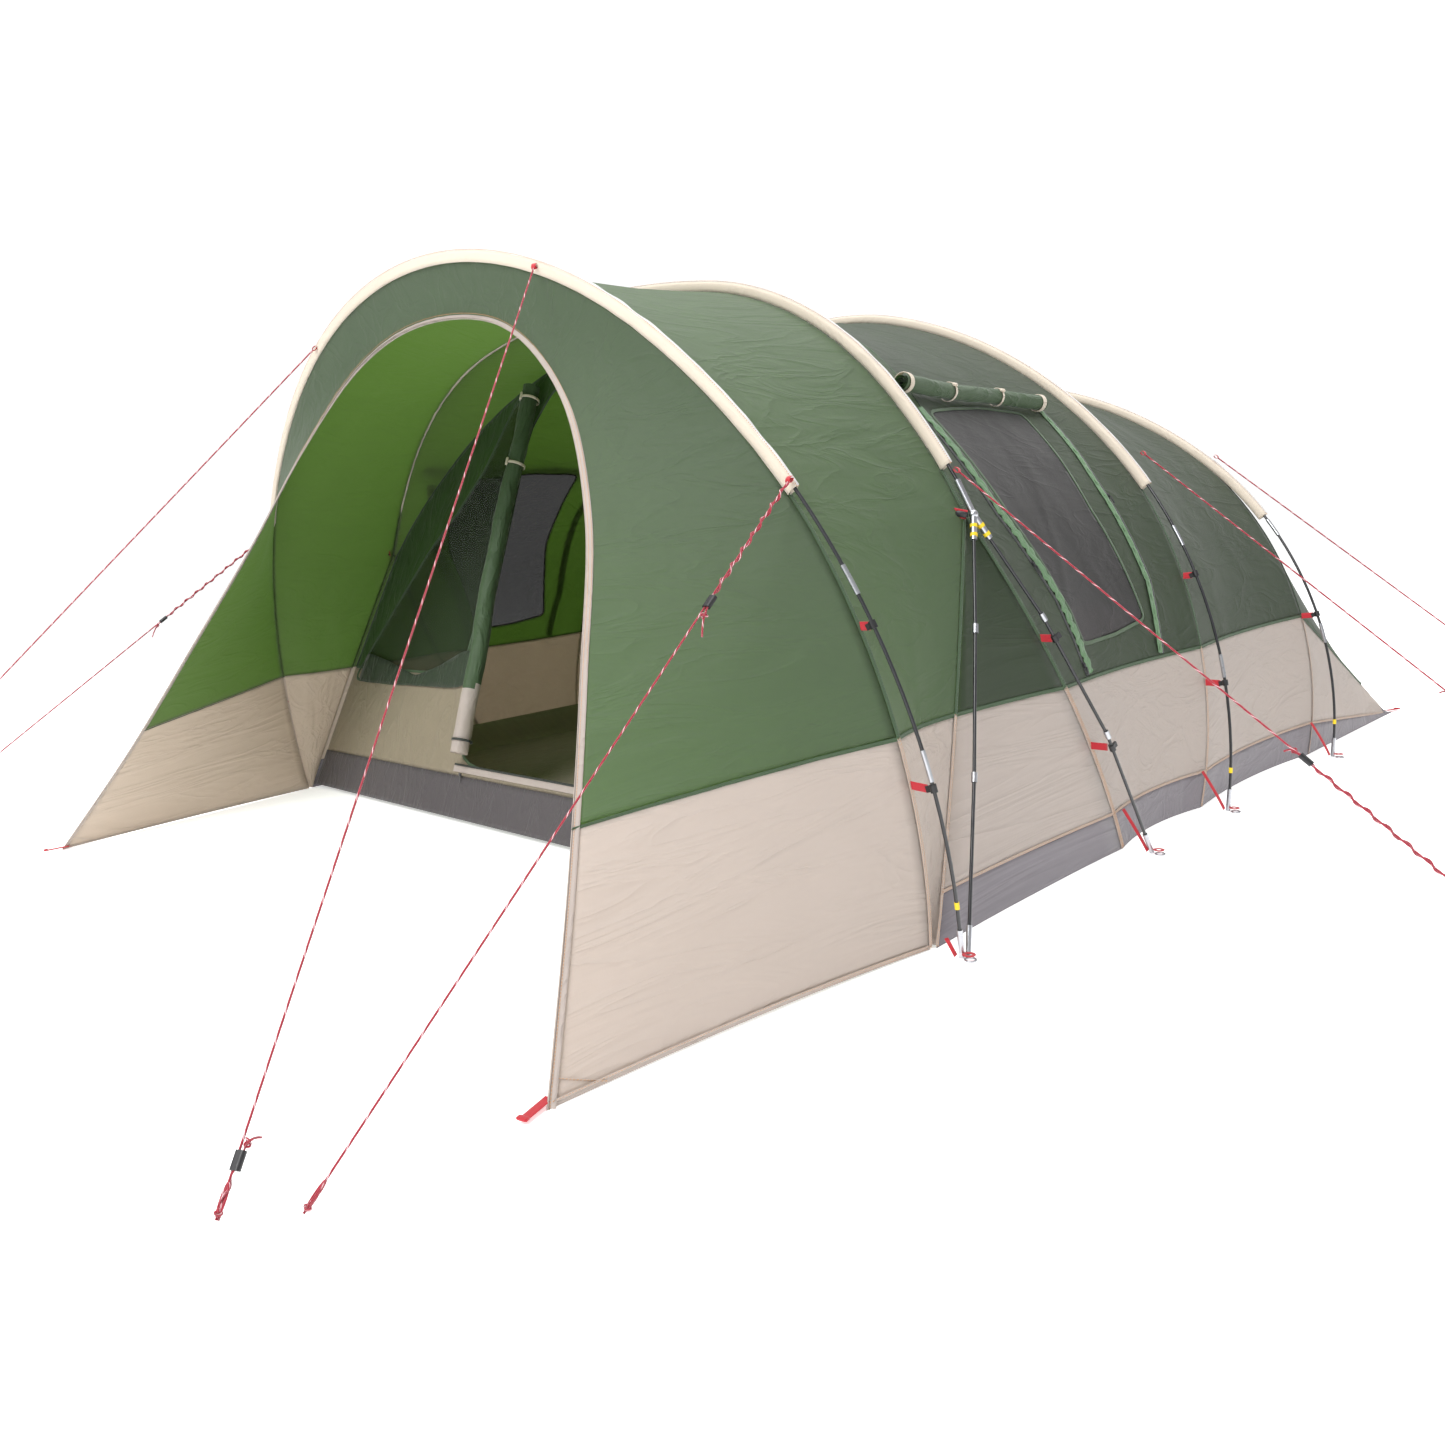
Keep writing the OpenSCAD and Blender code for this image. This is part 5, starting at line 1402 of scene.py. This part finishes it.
PAINT = {
    RODS: ["front_hoop_rods", "second_hoop_rods", "second_hoop_legs", "third_hoop_rods", "rear_hoop_rods"],
    STEEL: ["pole_ferrules", "pole_junctions", "foot_tubes", "foot_rings"],
    PLASTIC: ["pole_clips"] + [f"runner_{k}" for k in range(1, 11)],
    YELLOW: ["pole_bands"],
    ZIP_METAL: ["door_zip_slider"],
}
for material, names in PAINT.items():
    for name in names:
        node = nodes[name]
        node.data.materials.clear()
        node.data.materials.append(material)

# ---- Floor and light ----

floor_mesh = bpy.data.meshes.new("ground")
floor_mesh.from_pydata([(-60, -60, 0), (60, -60, 0), (60, 60, 0), (-60, 60, 0)], [], [(0, 1, 2, 3)])
ground = bpy.data.objects.new("ground", floor_mesh)
bpy.context.scene.collection.objects.link(ground)
ground.location.z = -0.001
floor_finish, tree, shader, _ = finish_of("pale_floor")
shader.inputs["Base Color"].default_value = (0.97, 0.97, 0.97, 1.0)
shader.inputs["Roughness"].default_value = 0.9
shader.inputs["Specular IOR Level"].default_value = 0.0
shader.inputs["Emission Color"].default_value = (1.0, 1.0, 1.0, 1.0)
shader.inputs["Emission Strength"].default_value = 0.5
floor_mesh.materials.append(floor_finish)

world = bpy.data.worlds.new("studio")
bpy.context.scene.world = world
world.use_nodes = True
tree = world.node_tree
sky = tree.nodes["Background"]
sky.inputs["Color"].default_value = (1.0, 1.0, 1.0, 1.0)
# A soft overcast dome to light the tent, and plain white where it is seen behind it.
seen = add(tree, "LightPath").outputs["Is Camera Ray"]
tree.links.new(maths(tree, "MULTIPLY_ADD", seen, 0.5, 0.55), sky.inputs["Strength"])


def softbox(name, place, aim, size, power):
    light = bpy.data.lights.new(name, "AREA")
    light.energy, light.size = power, size
    made = bpy.data.objects.new(name, light)
    bpy.context.scene.collection.objects.link(made)
    made.location = place
    made.rotation_mode = "QUATERNION"
    made.rotation_quaternion = (Vector(aim) - Vector(place)).to_track_quat("-Z", "Y")


softbox("key", (1.5, -8.0, 7.5), (0, -0.5, 0.8), 5.0, 770)
softbox("top", (0.0, 1.0, 9.0), (0, 0, 0), 8.0, 770)
